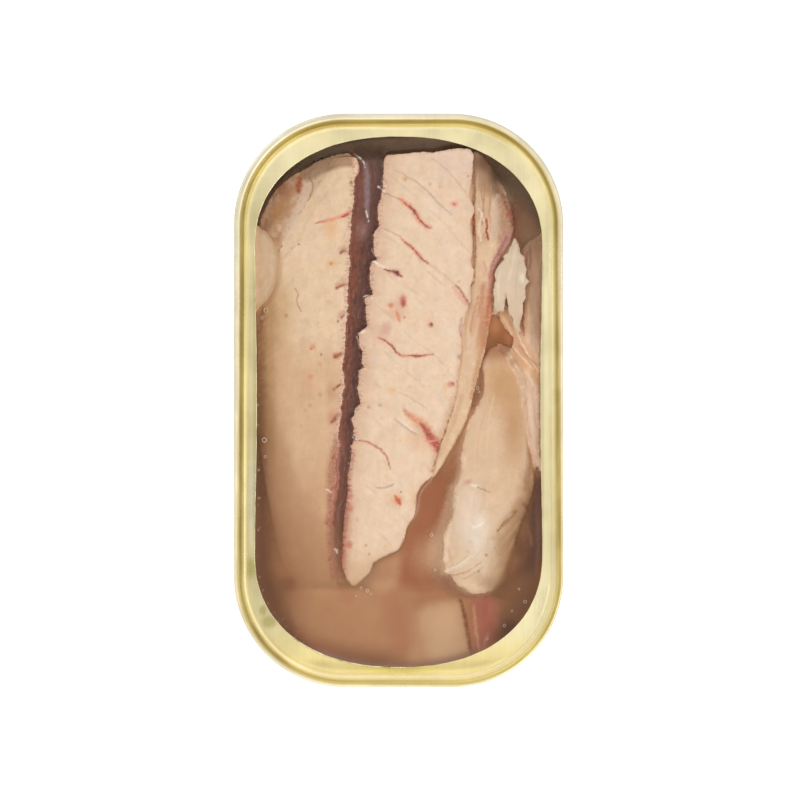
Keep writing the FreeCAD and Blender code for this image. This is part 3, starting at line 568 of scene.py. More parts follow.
for (bx, by, br, bc, bs) in [(-8.89, -19.67, 1.0, (206, 118, 104), 0.8), (-8.71, -17.65, 0.8, (196, 120, 104), 0.6),
                             (-9.07, -26.44, 1.1, (196, 104, 92), 0.85), (-5.96, -26.44, 0.4, (160, 120, 98), 0.6),
                             (-5.32, -28.08, 0.4, (150, 116, 90), 0.7), (-7.61, -21.86, 0.5, (206, 168, 134), 0.6),
                             (-3.04, -3.20, 0.8, (214, 182, 164), 0.5), (-4.13, 7.41, 1.2, (214, 190, 176), 0.5),
                             (-3.40, -0.82, 0.6, (180, 150, 130), 0.6), (-5.42, -1.28, 0.5, (190, 140, 128), 0.7),
                             (-6.70, -9.97, 0.7, (214, 186, 140), 0.6), (2.09, 2.47, 0.7, (206, 180, 150), 0.5),
                             (3.92, 3.75, 0.5, (200, 176, 150), 0.5), (11.05, 21.68, 0.4, (196, 150, 120), 0.6)]:
    t.add(blob(bx, by, br), bc, bs)
t.add(stroke([(10.48, 21.04,0.3), (11.78, 19.48,0.45), (13.06, 17.29,0.3)], 0.8), (168, 104, 80), 0.85)
t.add(stroke([(9.95, 20.76,0.4), (11.42, 18.75,0.8), (12.70, 17.29,0.5)], 1.0), (216, 152, 128), 0.6)
t.add(stroke([(11.51, 15.09,0.35), (11.23, 13.26,0.45), (11.42, 11.80,0.4)], 0.9), (188, 150, 134), 0.75)
t.add(blob(12.33, 12.71, 0.6, 0.9), (206, 140, 128), 0.7)
t.add(blob(11.23, 7.96, 0.9, 0.8), (172, 148, 128), 0.75)
t.add(stroke([(10.87, 6.31,0.5), (10.68, 3.75,0.5), (10.50, 1.56,0.3)], 1.0), (214, 172, 148), 0.6)
t.add(stroke([(10.50, 0.64,0.16), (10.14, -0.82,0.24), (9.22, -3.38,0.2), (8.31, -5.95,0.26), (7.57, -7.96,0.18), (6.84, -10.52,0.2), (6.11, -13.08,0.25)], 0.8)
      * smooth(-0.35, 0.25, fbm(X, Y, 1.2, 330, 2)), (140, 100, 76), 0.85)
t.add(blob(9.88, -1.28, 0.55), (190, 158, 132), 0.7)
t.add(smooth(-25.52, -31.74, Y + 0.5 * fbm(X, Y, 2.0, 337, 3)), (212, 174, 139), 0.9)
t.add(smooth(-16.37, -21.86, Y) * (1 - smooth(0.2, 2.2, X - strip_r + 0.4 * fbm(X, Y, 1.2, 338, 3))), (190, 138, 110), 0.85)
t.add(smooth(-31.74, -34.67, Y), (190, 144, 104), 0.7)
t.add(smooth(0.30, 0.6, fbm(XM, YM, 0.9, 371, 2)) * (1 - smooth(0.4, 3.0, X - strip_r)), (208, 158, 134), 0.45)
t.add(smooth(0.36, 0.6, fbm(XM, YM, 0.7, 375, 2)), (206, 168, 142), 0.28)
tones["loin_right"] = t

# left loin
t = mottled((227, 196, 162), 400)
t.add(smooth(-18.04, -21.70, X + 0.8 * fbm(X, Y, 4.0, 441, 3)) * smooth(25.34, 18.39, Y), (206, 168, 124), 0.85)
t.add(smooth(-20.97, -23.53, X + 0.8 * fbm(X, Y, 3.0, 446, 3)) * smooth(25.34, 20.22, Y), (186, 144, 100), 0.92)
t.add(smooth(12.90, 5.21, Y + 1.5 * fbm(X, Y, 4.0, 451, 3)) * smooth(-23.53, -21.33, X), (214, 172, 134), 0.72)
t.add(smooth(-5.40, -18.20, Y), (204, 160, 121), 0.85)
t.add(smooth(-18.20, -31.01, Y), (200, 152, 110), 0.80)
# browner down the left wall in the lower part: painted shade under the panel's edge
t.add((1 - smooth(0.6, 2.6, EDGE + 0.5 * fbm(X, Y, 1.6, 456, 3))) * smooth(19.12, 16.56, Y), (142, 97, 64), 0.92)
t.add(blob(-16.94, 3.02, 2.4, 4.6, 0, 1.0), (206, 160, 122), 0.6)
t.add(blob(-12.37, 1.56, 1.5, 3.0, 0, 1.0), (196, 146, 110), 0.65)
t.add(blob(-12.18, -3.20, 1.5, 2.4, 0, 1.0), (196, 140, 108), 0.65)
t.add(blob(-17.12, 9.97, 2.6, 2.4, 0, 1.0), (214, 170, 138), 0.5)
t.add(stroke([(-11.09, -6.49,0.9), (-11.82, -9.97,1.5), (-12.18, -13.63,1.7), (-12.37, -17.29,1.5), (-12.37, -20.95,1.2), (-12.37, -25.52,1.2), (-12.18, -29.18,1.1), (-12.00, -32.47,0.9)], 1.0), (168, 112, 84), 0.85)
t.add(blob(-10.17, 27.53, 1.3, 1.2, 0, 1.0), (182, 130, 106), 0.7)
t.add(blob(-10.17, 22.05, 1.2, 1.4, 0, 1.0), (196, 150, 124), 0.6)
t.add(blob(-16.58, 18.39, 4.0, 3.0, 10, 1.0), (233, 203, 168), 0.5)
t.add(blob(-15.84, 28.27, 3.4, 4.4, 0, 1.0), (233, 206, 174), 0.5)
t.add(np.exp(-(seam_l / 0.40) ** 2) * crisp * breaks, (216, 178, 142), 0.16)
t.add(smooth(0.3, 1.0, lam_l) * crisp, (220, 184, 148), 0.07)
t.add(blob(-12.37, 31.56, 2.0, 3.4, 0, 1.0), (226, 176, 130), 0.8)
t.add(blob(-12.18, 25.16, 1.5, 1.0), (226, 170, 124), 0.7)
t.add(blob(-12.31, 25.08, 0.4), (190, 122, 84), 0.8)
t.add(stroke([(-8.71, 34.67,0.8), (-9.99, 33.85,0.9), (-11.82, 33.21,0.6), (-15.11, 32.47,0.4)], 0.95), (222, 140, 116), 0.75)
t.add(stroke([(-8.53, 34.58,0.7), (-9.44, 34.03,0.5), (-10.35, 33.57,0.2)], 0.85), (170, 70, 60), 0.9)
t.add(stroke([(-13.47, 32.93,0.15), (-14.75, 32.56,0.3), (-15.29, 32.38,0.15)], 0.8), (196, 134, 104), 0.8)
t.add(blob(-8.62, 39.83, 0.55, 0.6), (140, 60, 48), 0.9)
t.add(blob(-18.26, 28.58, 0.35), (150, 118, 84), 0.85)
for (bx, by, br, bc, bs) in [(-10.54, 27.08, 0.5, (120, 88, 58), 0.9), (-11.27, 20.67, 0.55, (150, 84, 66), 0.85),
                             (-11.00, 21.13, 0.9, (206, 140, 116), 0.6), (-11.09, 14.45, 0.35, (120, 92, 66), 0.85),
                             (-10.54, 15.64, 1.1, (200, 150, 134), 0.7), (-14.23, 8.36, 0.35, (120, 96, 62), 0.9),
                             (-11.45, 8.23, 0.8, (172, 92, 62), 0.9), (-15.75, 9.79, 0.8, (214, 148, 108), 0.85),
                             (-16.03, 9.42, 0.4, (186, 112, 80), 0.8), (-14.42, 6.59, 0.7, (216, 160, 126), 0.75),
                             (-16.15, 4.34, 0.8, (216, 146, 108), 0.8), (-11.73, 2.10, 0.6, (170, 120, 84), 0.85),
                             (-11.64, 1.01, 0.5, (196, 154, 116), 0.6), (-14.42, 1.10, 0.6, (196, 154, 112), 0.75),
                             (-16.15, -0.91, 0.55, (196, 148, 108), 0.7), (-20.53, 15.53, 0.6, (178, 138, 98), 0.7),
                             (-17.12, -1.74, 0.35, (190, 150, 110), 0.6), (-17.86, -4.67, 0.4, (196, 152, 110), 0.5),
                             (-14.75, 14.18, 0.5, (206, 176, 130), 0.6), (-12.92, 18.02, 0.7, (206, 176, 130), 0.4),
                             (-19.50, 27.90, 0.3, (196, 160, 120), 0.6), (-12.73, 36.50, 0.4, (212, 180, 150), 0.5)]:
    t.add(blob(bx, by, br), bc, bs)
for hook in ([(-9.07, 27.26,0.5), (-9.99, 27.35,0.35), (-10.54, 27.08,0.3)], [(-9.26, 21.41,0.55), (-10.35, 21.13,0.4), (-11.27, 20.58,0.35)],
             [(-9.62, 15.64,0.6), (-10.35, 15.28,0.4)], [(-9.81, 8.69,0.5), (-10.72, 8.51,0.5), (-11.64, 7.96,0.5)],
             [(-10.54, 3.02,0.3), (-11.27, 2.47,0.35)], [(-10.54, -2.47,0.9), (-11.45, -3.20,0.7), (-12.18, -3.93,0.5)],
             [(-10.72, -8.69,0.8), (-11.45, -9.60,0.6), (-12.09, -10.70,0.3)], [(-11.27, -15.64,0.7), (-12.37, -16.37,0.5)],
             [(-12.18, -21.13,0.9), (-13.10, -22.41,0.7)], [(-12.00, -28.45,0.8), (-12.73, -29.18,0.5)]):
    t.add(stroke([(x_, y_, 1.9 * w_) for x_, y_, w_ in hook], 1.0), (206, 148, 118), 0.7)
    t.add(stroke(hook, 0.95), (150, 84, 66), 0.85)
t.add(stroke([(-19.05, 20.40,0.16), (-18.44, 19.56,0.2), (-18.59, 18.20,0.2), (-17.91, 16.37,0.16)], 0.8), (184, 138, 94), 0.85)
t.add(stroke([(-15.84, 37.69,0.22), (-16.58, 36.86,0.3), (-17.40, 35.84,0.16)], 0.8), (130, 96, 70), 0.8)
t.add(1 - smooth(0.0, 0.9, strip_l - X), (224, 186, 158), 0.5)
t.add(stroke([(-16.94, 14.73,0.9), (-17.31, 10.15,1.0), (-18.04, 5.58,0.8)], 1.0), (214, 186, 140), 0.3)
t.add(smooth(0.28, 0.6, fbm(XM, YM, 0.8, 471, 2)) * (1 - smooth(0.6, 4.0, strip_l - X)), (200, 146, 116), 0.5)
t.add(smooth(0.34, 0.6, fbm(XM, YM, 0.6, 475, 2)) * smooth(-3.57, 3.75, Y), (196, 158, 116), 0.35)
tones["loin_left"] = t

# dark muscle
t = Paint((108, 66, 52))
half = np.clip((X - strip_l) / np.maximum(strip_r - strip_l, 0.4), 0, 1)
half = half + 0.16 * fbm(X, Y, 1.1, 515, 3)
t.add(1 - smooth(0.12, 0.50, half), (142, 80, 58), 0.9)
t.add(smooth(0.45, 0.85, half), (92, 56, 48), 0.8)
t.add(smooth(0.0, 0.6, fbm(X * 2.2, Y * 0.5, 1.2, 501, 3)), (80, 42, 34), 0.7)
t.add(smooth(0.1, 0.7, fbm(X * 2.2, Y * 0.8, 0.9, 505, 3)), (154, 98, 78), 0.55)
t.add(smooth(0.25, 0.8, fbm(X, Y, 0.55, 509, 2)), (174, 124, 104), 0.35)
t.add(smooth(30.10, 34.49, Y), (112, 76, 66), 0.35)
t.add(smooth(37.41, 45.83, Y) * smooth(-5.96, -4.13, X), (116, 84, 70), 0.6)
# a grey-violet line down its upper part: painted gloss highlight
t.add(stroke([(-5.96, 43.45,0.6), (-5.78, 40.34,0.95), (-5.78, 36.68,0.9), (-5.78, 34.12,0.5)], 1.0), (152, 128, 128), 0.75)
t.add(blob(-6.70, 31.19, 2.2, 2.8, 0, 1.0), (158, 118, 106), 0.6)
t.add(blob(-8.53, 34.49, 1.0, 2.4, 0, 1.0), (150, 96, 78), 0.5)
t.add(smooth(42.17, 45.10, Y), (98, 74, 60), 0.9)
t.add(blob(-8.53, -2.65, 0.8, 1.4), (84, 58, 40), 0.7)
t.add(smooth(-3.57, -14.54, Y), (122, 74, 54), 0.7)
t.add(smooth(-21.86, -32.84, Y), (150, 98, 74), 0.7)
t.add((1 - smooth(0.0, 0.30, half)) * smooth(-4.48, -12.71, Y), (176, 112, 92), 0.85)
t.add(1 - smooth(0, 0.8, Y - -33.39), (170, 120, 92), 0.5)
tones["dark_muscle"] = t
# belly flap
t = mottled((221, 184, 148), 600)
t.add(smooth(0.1, 0.7, fbm(X * 3.0, Y * 0.35, 2.4, 610, 3)), (204, 162, 126), 0.5)
t.add(smooth(0.1, 0.7, fbm(X * 3.0, Y * 0.35, 2.0, 615, 3)), (230, 202, 170), 0.4)
# its far end browns and darkens towards the wall: painted shade under the panel's edge
t.add(smooth(36.68, 41.80, Y) * smooth(13.06, 17.45, X), (134, 98, 72), 0.92)
t.add(smooth(38.88, 44.00, Y), (140, 104, 78), 0.85)
t.add(blob(15.44, 43.45, 1.8, 2.4, 0, 1.0), (118, 84, 58), 0.75)
t.add(blob(15.44, 39.43, 1.6, 2.6, 0, 1.0), (164, 124, 92), 0.6)
t.add(blob(16.72, 38.51, 1.9, 2.8, 0, 1.0), (158, 116, 84), 0.7)
t.add(blob(18.19, 38.14, 1.8, 2.2, 0, 1.0), (132, 94, 68), 0.85)
t.add(blob(18.37, 31.92, 1.6, 4.2, 0, 1.0), (186, 150, 120), 0.6)
t.add(blob(15.44, 29.73, 1.4, 1.8, 0, 1.0), (196, 150, 118), 0.7)
t.add(stroke([(20.93, 35.77,0.5), (21.20, 32.66,0.6), (20.93, 30.10,0.5)], 1.0), (140, 92, 68), 0.8)
# its far right corner darker still: painted shade
t.add(smooth(37.41, 40.71, Y - 0.55 * (X - 17.09)) * smooth(15.99, 18.00, X), (100, 74, 56), 0.95)
# darker strokes in the crease along the right loin's edge: painted shade, with reddish spots of its own in it
t.add(stroke([(13.61, 42.54,0.6), (13.79, 38.51,0.5), (13.52, 34.49,0.6), (13.70, 29.36,0.6), (13.70, 25.34,0.5), (13.79, 22.41,0.3)], 1.0), (184, 138, 102), 0.85)
t.add(stroke([(13.89, 42.17,0.2), (13.98, 38.51,0.22), (13.79, 34.30,0.25), (14.07, 29.36,0.25), (13.98, 24.24,0.16)], 0.9), (142, 96, 66), 0.65)
t.add(stroke([(13.79, 34.30,0.3), (13.70, 32.29,0.4), (13.79, 30.10,0.25)], 0.85), (150, 74, 44), 0.85)
t.add(blob(14.16, 13.81, 1.8, 5.0, 0, 1.0), (202, 156, 126), 0.7)
t.add(blob(15.99, 26.07, 1.8, 3.6, 0, 1.0), (226, 194, 160), 0.7)
t.add(blob(15.62, 34.12, 1.8, 3.6, 0, 1.0), (196, 152, 118), 0.6)
t.add(stroke([(11.60, 0.82,0.8), (10.50, -2.65,1.0), (9.04, -6.49,1.0), (7.57, -9.97,0.8)], 1.0), (206, 164, 128), 0.6)
t.add(stroke([(15.81, 41.07,0.35), (15.62, 36.68,0.3), (15.26, 32.29,0.3)], 0.9), (176, 128, 92), 0.7)
t.add(stroke([(16.90, 39.24,0.3), (16.72, 35.95,0.35), (16.54, 33.75,0.3)], 0.9), (186, 138, 104), 0.7)
t.add(stroke([(18.00, 37.41,0.7), (17.64, 33.94,0.9), (17.27, 29.36,0.7)], 0.95), (208, 182, 156), 0.8)
t.add(stroke([(15.08, 38.51,0.2), (15.35, 36.50,0.2)], 0.8), (160, 110, 78), 0.7)
t.add(stroke([(15.99, 33.21,0.25), (16.17, 32.29,0.4), (16.08, 31.01,0.3), (16.45, 29.55,0.4)], 0.85), (156, 66, 44), 0.95)
t.add(stroke([(16.63, 34.49,0.3), (16.81, 32.66,0.3), (16.72, 30.83,0.25)], 0.9), (206, 150, 120), 0.7)
t.add(stroke([(15.26, 34.12,0.35), (14.71, 31.56,0.4), (15.08, 29.36,0.4)], 0.8), (240, 210, 182), 0.9)
t.add(stroke([(14.53, 35.03,0.2), (15.17, 34.30,0.25), (15.62, 32.84,0.2)], 0.8), (246, 222, 198), 0.9)
t.add(stroke([(15.62, 25.34,0.4), (15.99, 23.87,0.4)], 0.9), (206, 150, 126), 0.7)
t.add(stroke([(19.10, 37.41,1.0), (20.01, 35.22,1.5), (20.75, 32.66,1.6), (20.75, 30.10,1.4)], 1.0), (140, 88, 66), 0.9)
t.add(stroke([(18.37, 36.68,0.8), (19.10, 34.12,1.2), (19.28, 31.56,1.3), (18.55, 29.36,1.0)], 1.0), (180, 132, 106), 0.75)
t.add(blob(20.20, 34.12, 0.9, 1.4, 0, 1.0), (162, 78, 60), 0.75)
t.add(stroke([(20.38, 30.83,1.4), (19.10, 27.90,1.5), (17.91, 25.34,1.3), (17.18, 22.78,1.0)], 0.95), (186, 130, 116), 0.9)
t.add(stroke([(19.65, 29.73,0.5), (18.37, 27.17,0.5), (17.09, 24.79,0.45), (16.63, 22.41,0.4)], 0.95), (168, 104, 100), 0.7)
t.add(stroke([(17.09, 23.14,0.9), (16.72, 20.58,1.0), (16.63, 18.39,1.1)], 0.95), (192, 124, 104), 0.9)
t.add(stroke([(16.72, 18.75,1.1), (16.36, 16.19,1.4), (15.99, 13.63,1.3), (15.44, 10.15,0.9)], 1.0), (194, 118, 80), 0.95)
t.add(stroke([(15.62, 21.31,0.8), (15.26, 18.75,1.1), (14.89, 16.19,1.3), (14.89, 13.26,1.2), (14.53, 9.97,0.8)], 1.0), (202, 146, 112), 0.75)
t.add(blob(15.81, 23.51, 1.2, 1.6, 0, 1.0), (208, 160, 130), 0.6)
t.add(stroke([(15.81, 12.90,1.1), (15.08, 8.87,1.0), (14.16, 4.85,0.8), (13.25, 0.46,0.5)], 1.0), (196, 140, 98), 0.75)
t.add(stroke([(13.89, 21.86,0.16), (13.06, 20.76,0.22), (12.42, 19.67,0.16)], 0.8), (150, 108, 84), 0.85)
t.add(stroke([(14.53, 19.12,0.35), (13.79, 16.19,0.35), (13.06, 12.53,0.3)], 0.9), (194, 142, 114), 0.7)
t.add(stroke([(14.71, 15.09,0.5), (13.79, 11.07,0.6), (13.06, 7.04,0.5)], 1.0), (232, 196, 160), 0.5)
t.add(stroke([(10.50, 0.64,0.16), (10.14, -0.82,0.24), (9.22, -3.38,0.2), (8.31, -5.95,0.26), (7.57, -7.96,0.18)], 0.8)
      * smooth(-0.35, 0.25, fbm(X, Y, 1.2, 330, 2)), (140, 100, 76), 0.85)
t.add(stroke([(15.44, 20.95,0.6), (15.26, 18.39,0.9), (15.26, 15.46,0.9), (15.08, 12.17,0.6)], 1.0), (194, 138, 104), 0.7)
# painted light where the flap runs under the right loin's edge, against the shade there
t.scale(1 + 0.10 * smooth(-1.2, -0.05, fields["loin_right"]))
tones["belly_flap"] = t
# white flake
t = mottled((217, 193, 165), 700, 0.35)
t.add(smooth(25.34, 29.36, Y), (206, 182, 156), 0.7)
t.add(smooth(0.1, 0.7, fbm(X * 2.5, Y * 0.5, 2.0, 710, 3)), (208, 184, 156), 0.4)
t.add(smooth(18.39, 15.09, Y), (212, 184, 154), 0.6)
t.add(blob(22.58, 22.41, 0.8, 1.4), (236, 220, 196), 0.8)
t.add(stroke([(21.48, 28.27,0.4), (20.93, 25.34,0.5), (20.20, 22.05,0.4)], 1.0), (230, 210, 184), 0.6)
t.add(stroke([(18.73, 24.24,0.3), (18.19, 21.13,0.4), (18.37, 18.39,0.3)], 1.0), (232, 214, 190), 0.6)
t.add(stroke([(22.03, 25.34,0.2), (21.48, 21.31,0.25), (21.66, 17.29,0.2)], 1.0), (200, 174, 148), 0.45)
t.add(stroke([(19.61, 19.48,0.25), (19.43, 17.84,0.3)], 0.9), (190, 158, 128), 0.7)
t.add(stroke([(17.45, 16.74,0.4), (18.19, 15.92,0.4), (18.92, 16.37,0.3)], 0.9), (184, 140, 108), 0.7)
tones["white_flake"] = t
# strip against the right-hand wall
t = mottled((213, 177, 146), 750, 0.9)
t.add(smooth(9.24, 13.81, Y) * smooth(23.67, 24.22, X), (182, 142, 112), 0.92)
t.add(smooth(10.15, 13.81, Y) * smooth(24.22, 23.49, X), (196, 154, 120), 0.85)
t.add(smooth(24.24, 29.00, Y), (150, 114, 86), 0.85)
t.add(blob(23.31, 23.51, 1.0, 2.0, 0, 1.0), (206, 168, 138), 0.7)
t.add(patch([(18.00, 17.84), (19.65, 18.39), (20.75, 15.46), (22.39, 12.53), (24.22, 9.24), (26.05, 5.21), (26.05, 2.29), (23.67, 4.48), (21.11, 7.41), (20.38, 9.97), (20.75, 11.80), (19.10, 13.63)], 0.5), (212, 161, 120), 0.9)
t.add(stroke([(21.66, 12.53,0.8), (22.94, 10.52,1.0), (24.04, 8.51,0.8)], 1.0), (214, 172, 138), 0.6)
t.add(stroke([(18.55, 16.19,0.25), (19.65, 14.36,0.3), (20.75, 12.35,0.25)], 0.9), (232, 190, 150), 0.7)
t.add(stroke([(19.65, 17.29,0.25), (20.75, 14.54,0.3), (22.94, 9.79,0.25), (25.50, 5.21,0.2)], 0.9), (240, 212, 182), 0.75)
t.add(stroke([(19.37, 9.33,0.25), (20.38, 8.14,0.35), (21.57, 6.22,0.25)], 0.85), (248, 226, 200), 0.95)
t.add(stroke([(19.10, 10.34,0.2), (20.20, 9.79,0.25), (20.75, 8.87,0.2)], 0.85), (240, 208, 176), 0.85)
t.add(stroke([(20.93, 9.97,0.2), (22.58, 7.96,0.25), (24.59, 5.76,0.2)], 0.85), (238, 208, 178), 0.8)
t.add(stroke([(22.03, 10.15,0.2), (23.67, 7.96,0.25), (25.32, 6.49,0.2)], 0.85), (172, 118, 86), 0.6)
t.add(stroke([(21.30, 7.41,0.2), (22.76, 5.03,0.25), (23.49, 2.29,0.2)], 0.9), (186, 132, 102), 0.6)
t.add(stroke([(23.31, 5.21,0.45), (24.59, 3.02,0.5), (25.14, 0.46,0.4)], 0.95), (234, 204, 174), 0.7)
t.add(stroke([(23.67, 2.65,0.5), (24.04, -2.10,0.6), (24.59, -6.49,0.5), (25.14, -10.15,0.3)], 1.0), (224, 190, 162), 0.65)
t.add(stroke([(24.59, 2.29,0.4), (24.59, -0.27,0.45), (24.95, -3.57,0.4), (25.32, -8.32,0.3)], 1.0), (190, 150, 130), 0.7)
t.add(stroke([(23.40, 0.46,0.3), (23.58, -3.20,0.35), (24.22, -6.86,0.3)], 1.0), (196, 146, 124), 0.6)
t.add(stroke([(25.87, 2.29,0.3), (25.87, -1.74,0.35), (25.96, -7.23,0.3), (25.87, -10.52,0.25)], 1.0), (176, 136, 130), 0.7)
t.add(blob(24.95, -7.23, 1.0, 3.2, 0, 1.0), (222, 184, 156), 0.7)
t.add(stroke([(22.94, 19.12,0.4), (22.76, 16.56,0.5), (22.67, 14.36,0.5), (22.94, 11.98,0.35)], 0.95), (162, 84, 60), 0.85)
t.add(stroke([(22.48, 20.22,0.3), (22.21, 17.29,0.3), (22.39, 14.73,0.25)], 1.0), (206, 160, 122), 0.6)
t.add(blob(24.22, 18.39, 0.9, 2.6, 0, 1.0), (176, 142, 104), 0.6)
t.add(stroke([(25.96, 25.34,0.5), (26.05, 12.90,0.6), (26.05, 0.09,0.6), (25.96, -9.97,0.5)], 1.0), (156, 122, 104), 0.85)
t.add(blob(24.77, 1.01, 1.1, 4.0, 0, 1.0), (226, 192, 164), 0.6)
t.add(blob(24.77, -4.48, 1.2, 3.4, 0, 1.0), (230, 196, 170), 0.6)
t.add(blob(23.67, 5.21, 1.5, 2.0, 0, 1.0), (226, 190, 156), 0.6)
t.add(blob(24.04, -2.65, 1.0, 4.4, 0, 1.0), (230, 198, 170), 0.6)
t.add(blob(24.04, 20.03, 0.9, 3.6, 0, 1.0), (200, 160, 126), 0.7)
t.add(blob(24.04, 14.36, 0.9, 2.6, 0, 1.0), (206, 172, 138), 0.6)
t.add(stroke([(24.04, 28.27,0.4), (24.13, 26.07,0.5), (24.04, 24.24,0.4)], 1.0), (132, 88, 70), 0.7)
t.add(stroke([(23.58, 27.17,0.3), (23.40, 25.34,0.3), (23.49, 23.14,0.2)], 0.9), (150, 84, 70), 0.6)
t.add(blob(19.10, 9.24, 2.6, 2.4, 0), (158, 102, 70), 0.9)
t.add(blob(20.93, 7.04, 1.2, 1.6, 0), (186, 142, 108), 0.8)
tones["wall_strip"] = t
# thick chunk
t = mottled((220, 186, 152), 800, 0.55)
t.add(blob(19.10, 3.02, 6.4, 9.6, 8, 1.0), (202, 155, 110), 0.98)
t.add(blob(21.11, -4.48, 4.0, 13.0, 0, 1.0), (196, 150, 106), 0.85)
t.add(blob(16.72, -9.06, 3.5, 7.0, -8, 1.0), (220, 186, 152), 0.7)
t.add(smooth(5.95, 9.24, Y), (164, 108, 72), 0.85)
t.add(stroke([(15.44, 2.84,0.7), (13.98, -2.65,0.9), (12.51, -7.23,0.8), (11.96, -11.25,0.6)], 1.0), (222, 188, 156), 0.7)
t.add(stroke([(17.45, 1.01,0.3), (16.54, -3.57,0.35), (16.17, -9.06,0.3)], 1.0), (228, 196, 164), 0.5)
t.add(stroke([(15.99, -1.37,0.25), (14.89, -5.76,0.3), (14.34, -10.15,0.25)], 1.0), (206, 166, 134), 0.45)
t.add(stroke([(23.49, 1.01,0.9), (23.86, -5.40,1.1), (24.04, -11.25,1.1), (23.12, -16.37,0.9)], 1.0), (172, 128, 92), 0.8)
t.add(blob(13.79, -24.06, 5.4, 8.6, 18, 1.0), (230, 211, 189), 0.95)
t.add(blob(13.06, -18.20, 3.6, 6.0, -10, 1.0), (228, 203, 178), 0.8)
t.add(blob(11.78, -21.86, 2.0, 5.0, -8, 1.0), (230, 202, 178), 0.6)
# small brighter spots and a bright line on the white flesh: painted wet highlights
t.add(blob(14.89, -22.23, 1.8, 1.5, 30, 1.0), (240, 226, 206), 0.5)
t.add(blob(14.16, -25.70, 1.6, 1.2, -20, 1.0), (238, 222, 202), 0.45)
t.add(stroke([(13.06, -22.59,0.2), (13.79, -23.14,0.45), (14.89, -22.78,0.4), (15.62, -22.23,0.2)], 1.0), (248, 236, 218), 0.6)
t.add(stroke([(15.62, -15.64,0.6), (15.81, -18.20,0.7), (14.89, -20.40,0.5)], 1.0), (214, 180, 150), 0.6)
t.add(stroke([(14.16, -16.74,0.4), (13.61, -20.40,0.5), (13.06, -23.69,0.4)], 1.0), (216, 188, 162), 0.4)
t.add(stroke([(16.72, -19.12,0.5), (17.09, -22.78,0.6), (16.17, -26.44,0.5)], 1.0), (214, 188, 158), 0.5)
# feathered lobes at its near end
for k, (pts, rgb, st) in enumerate([
        ([(8.67, -31.19,0.3), (10.14, -30.46,0.9), (11.96, -29.55,1.1), (13.79, -28.45,0.6)], (226, 208, 184), 0.8),
        ([(9.77, -31.92,0.3), (11.60, -31.38,0.7), (13.79, -30.28,0.8), (15.62, -28.81,0.4)], (220, 196, 168), 0.7),
        ([(11.23, -33.57,0.4), (13.06, -32.84,0.7), (14.89, -31.56,0.6), (16.17, -29.91,0.3)], (216, 188, 158), 0.7),
        ([(9.04, -30.64,0.16), (10.87, -29.73,0.25), (12.70, -28.45,0.2)], (196, 160, 130), 0.6),
        ([(9.40, -32.02,0.2), (11.23, -31.65,0.3), (13.06, -31.01,0.25), (15.08, -29.55,0.2)], (186, 144, 112), 0.7),
        ([(11.60, -32.66,0.2), (13.43, -31.92,0.3), (15.44, -30.46,0.2)], (188, 152, 120), 0.6),
        ([(14.53, -33.94,0.5), (16.17, -32.84,0.6), (17.45, -31.01,0.4)], (204, 172, 142), 0.6),
        ([(15.26, -26.98,0.25), (14.16, -28.45,0.3), (12.70, -29.36,0.2)], (204, 174, 146), 0.5),
        ([(17.09, -28.45,0.4), (16.72, -30.64,0.5), (15.62, -32.84,0.4)], (202, 170, 138), 0.6),
        ([(8.85, -26.98,0.4), (9.40, -28.45,0.6), (9.77, -29.91,0.4)], (206, 172, 140), 0.6)]):
    t.add(stroke(pts, 1.0), rgb, st)
t.add(blob(12.70, -14.91, 1.3, 0.8, 20, 1.0), (204, 152, 134), 0.75)
t.add(stroke([(13.43, -15.46,0.3), (14.16, -15.64,0.4)], 0.8), (246, 226, 204), 0.9)
t.add(stroke([(14.34, -15.83,0.16), (15.62, -16.37,0.22), (16.63, -16.74,0.14)], 0.9), (168, 126, 98), 0.8)
for (bx, by, br, bc, bs) in [(16.14, -28.30, 0.42, (112, 80, 54), 0.9), (17.64, -26.89, 0.35, (142, 100, 68), 0.85),
                             (18.28, -26.53, 0.35, (132, 92, 62), 0.85), (14.65, -31.27, 0.4, (156, 132, 100), 0.85),
                             (12.70, -27.72, 0.6, (204, 174, 146), 0.6), (18.37, -24.42, 0.5, (176, 142, 102), 0.7),
                             (18.92, -25.70, 0.4, (160, 118, 82), 0.7), (17.27, -25.16, 0.5, (196, 164, 130), 0.6),
                             (13.25, -25.89, 0.8, (208, 184, 158), 0.45)]:
    t.add(blob(bx, by, br), bc, bs)
# its right side goes tan, brown, then dark brown towards the wall: painted shade from the wall, browner where it sinks
# in the juice
side = np.interp(gy, [-36.50, -33.75, -29.18, -25.52, -21.86, -19.12, -15.46, -11.80],
                 [17.09, 18.00, 18.37, 18.55, 19.83, 21.30, 22.76, 23.67])[:, None] + 0.9 * fbm(X, Y, 2.0, 835, 3)
low = smooth(-9.97, -15.46, Y)
t.add(smooth(-3.2, 0.0, X - side) * low * smooth(-19.12, -26.44, Y), (198, 164, 128), 0.85)
t.add(smooth(-1.8, 1.6, X - side) * low, (174, 130, 92), 0.92)
t.add(smooth(1.0, 4.2, X - side) * low, (118, 80, 58), 0.95)
t.add(stroke([(18.19, -23.87,0.4), (19.28, -22.41,0.7), (20.38, -21.31,0.8), (21.48, -20.22,0.5)], 1.0), (150, 110, 66), 0.85)
t.add(stroke([(18.00, -23.33,0.3), (19.28, -21.86,0.35), (20.75, -20.76,0.3)], 1.0), (206, 172, 132), 0.7)
t.add(stroke([(18.37, -26.98,0.3), (19.65, -25.16,0.5), (20.93, -23.69,0.4), (22.03, -22.23,0.3)], 1.0), (190, 152, 112), 0.7)
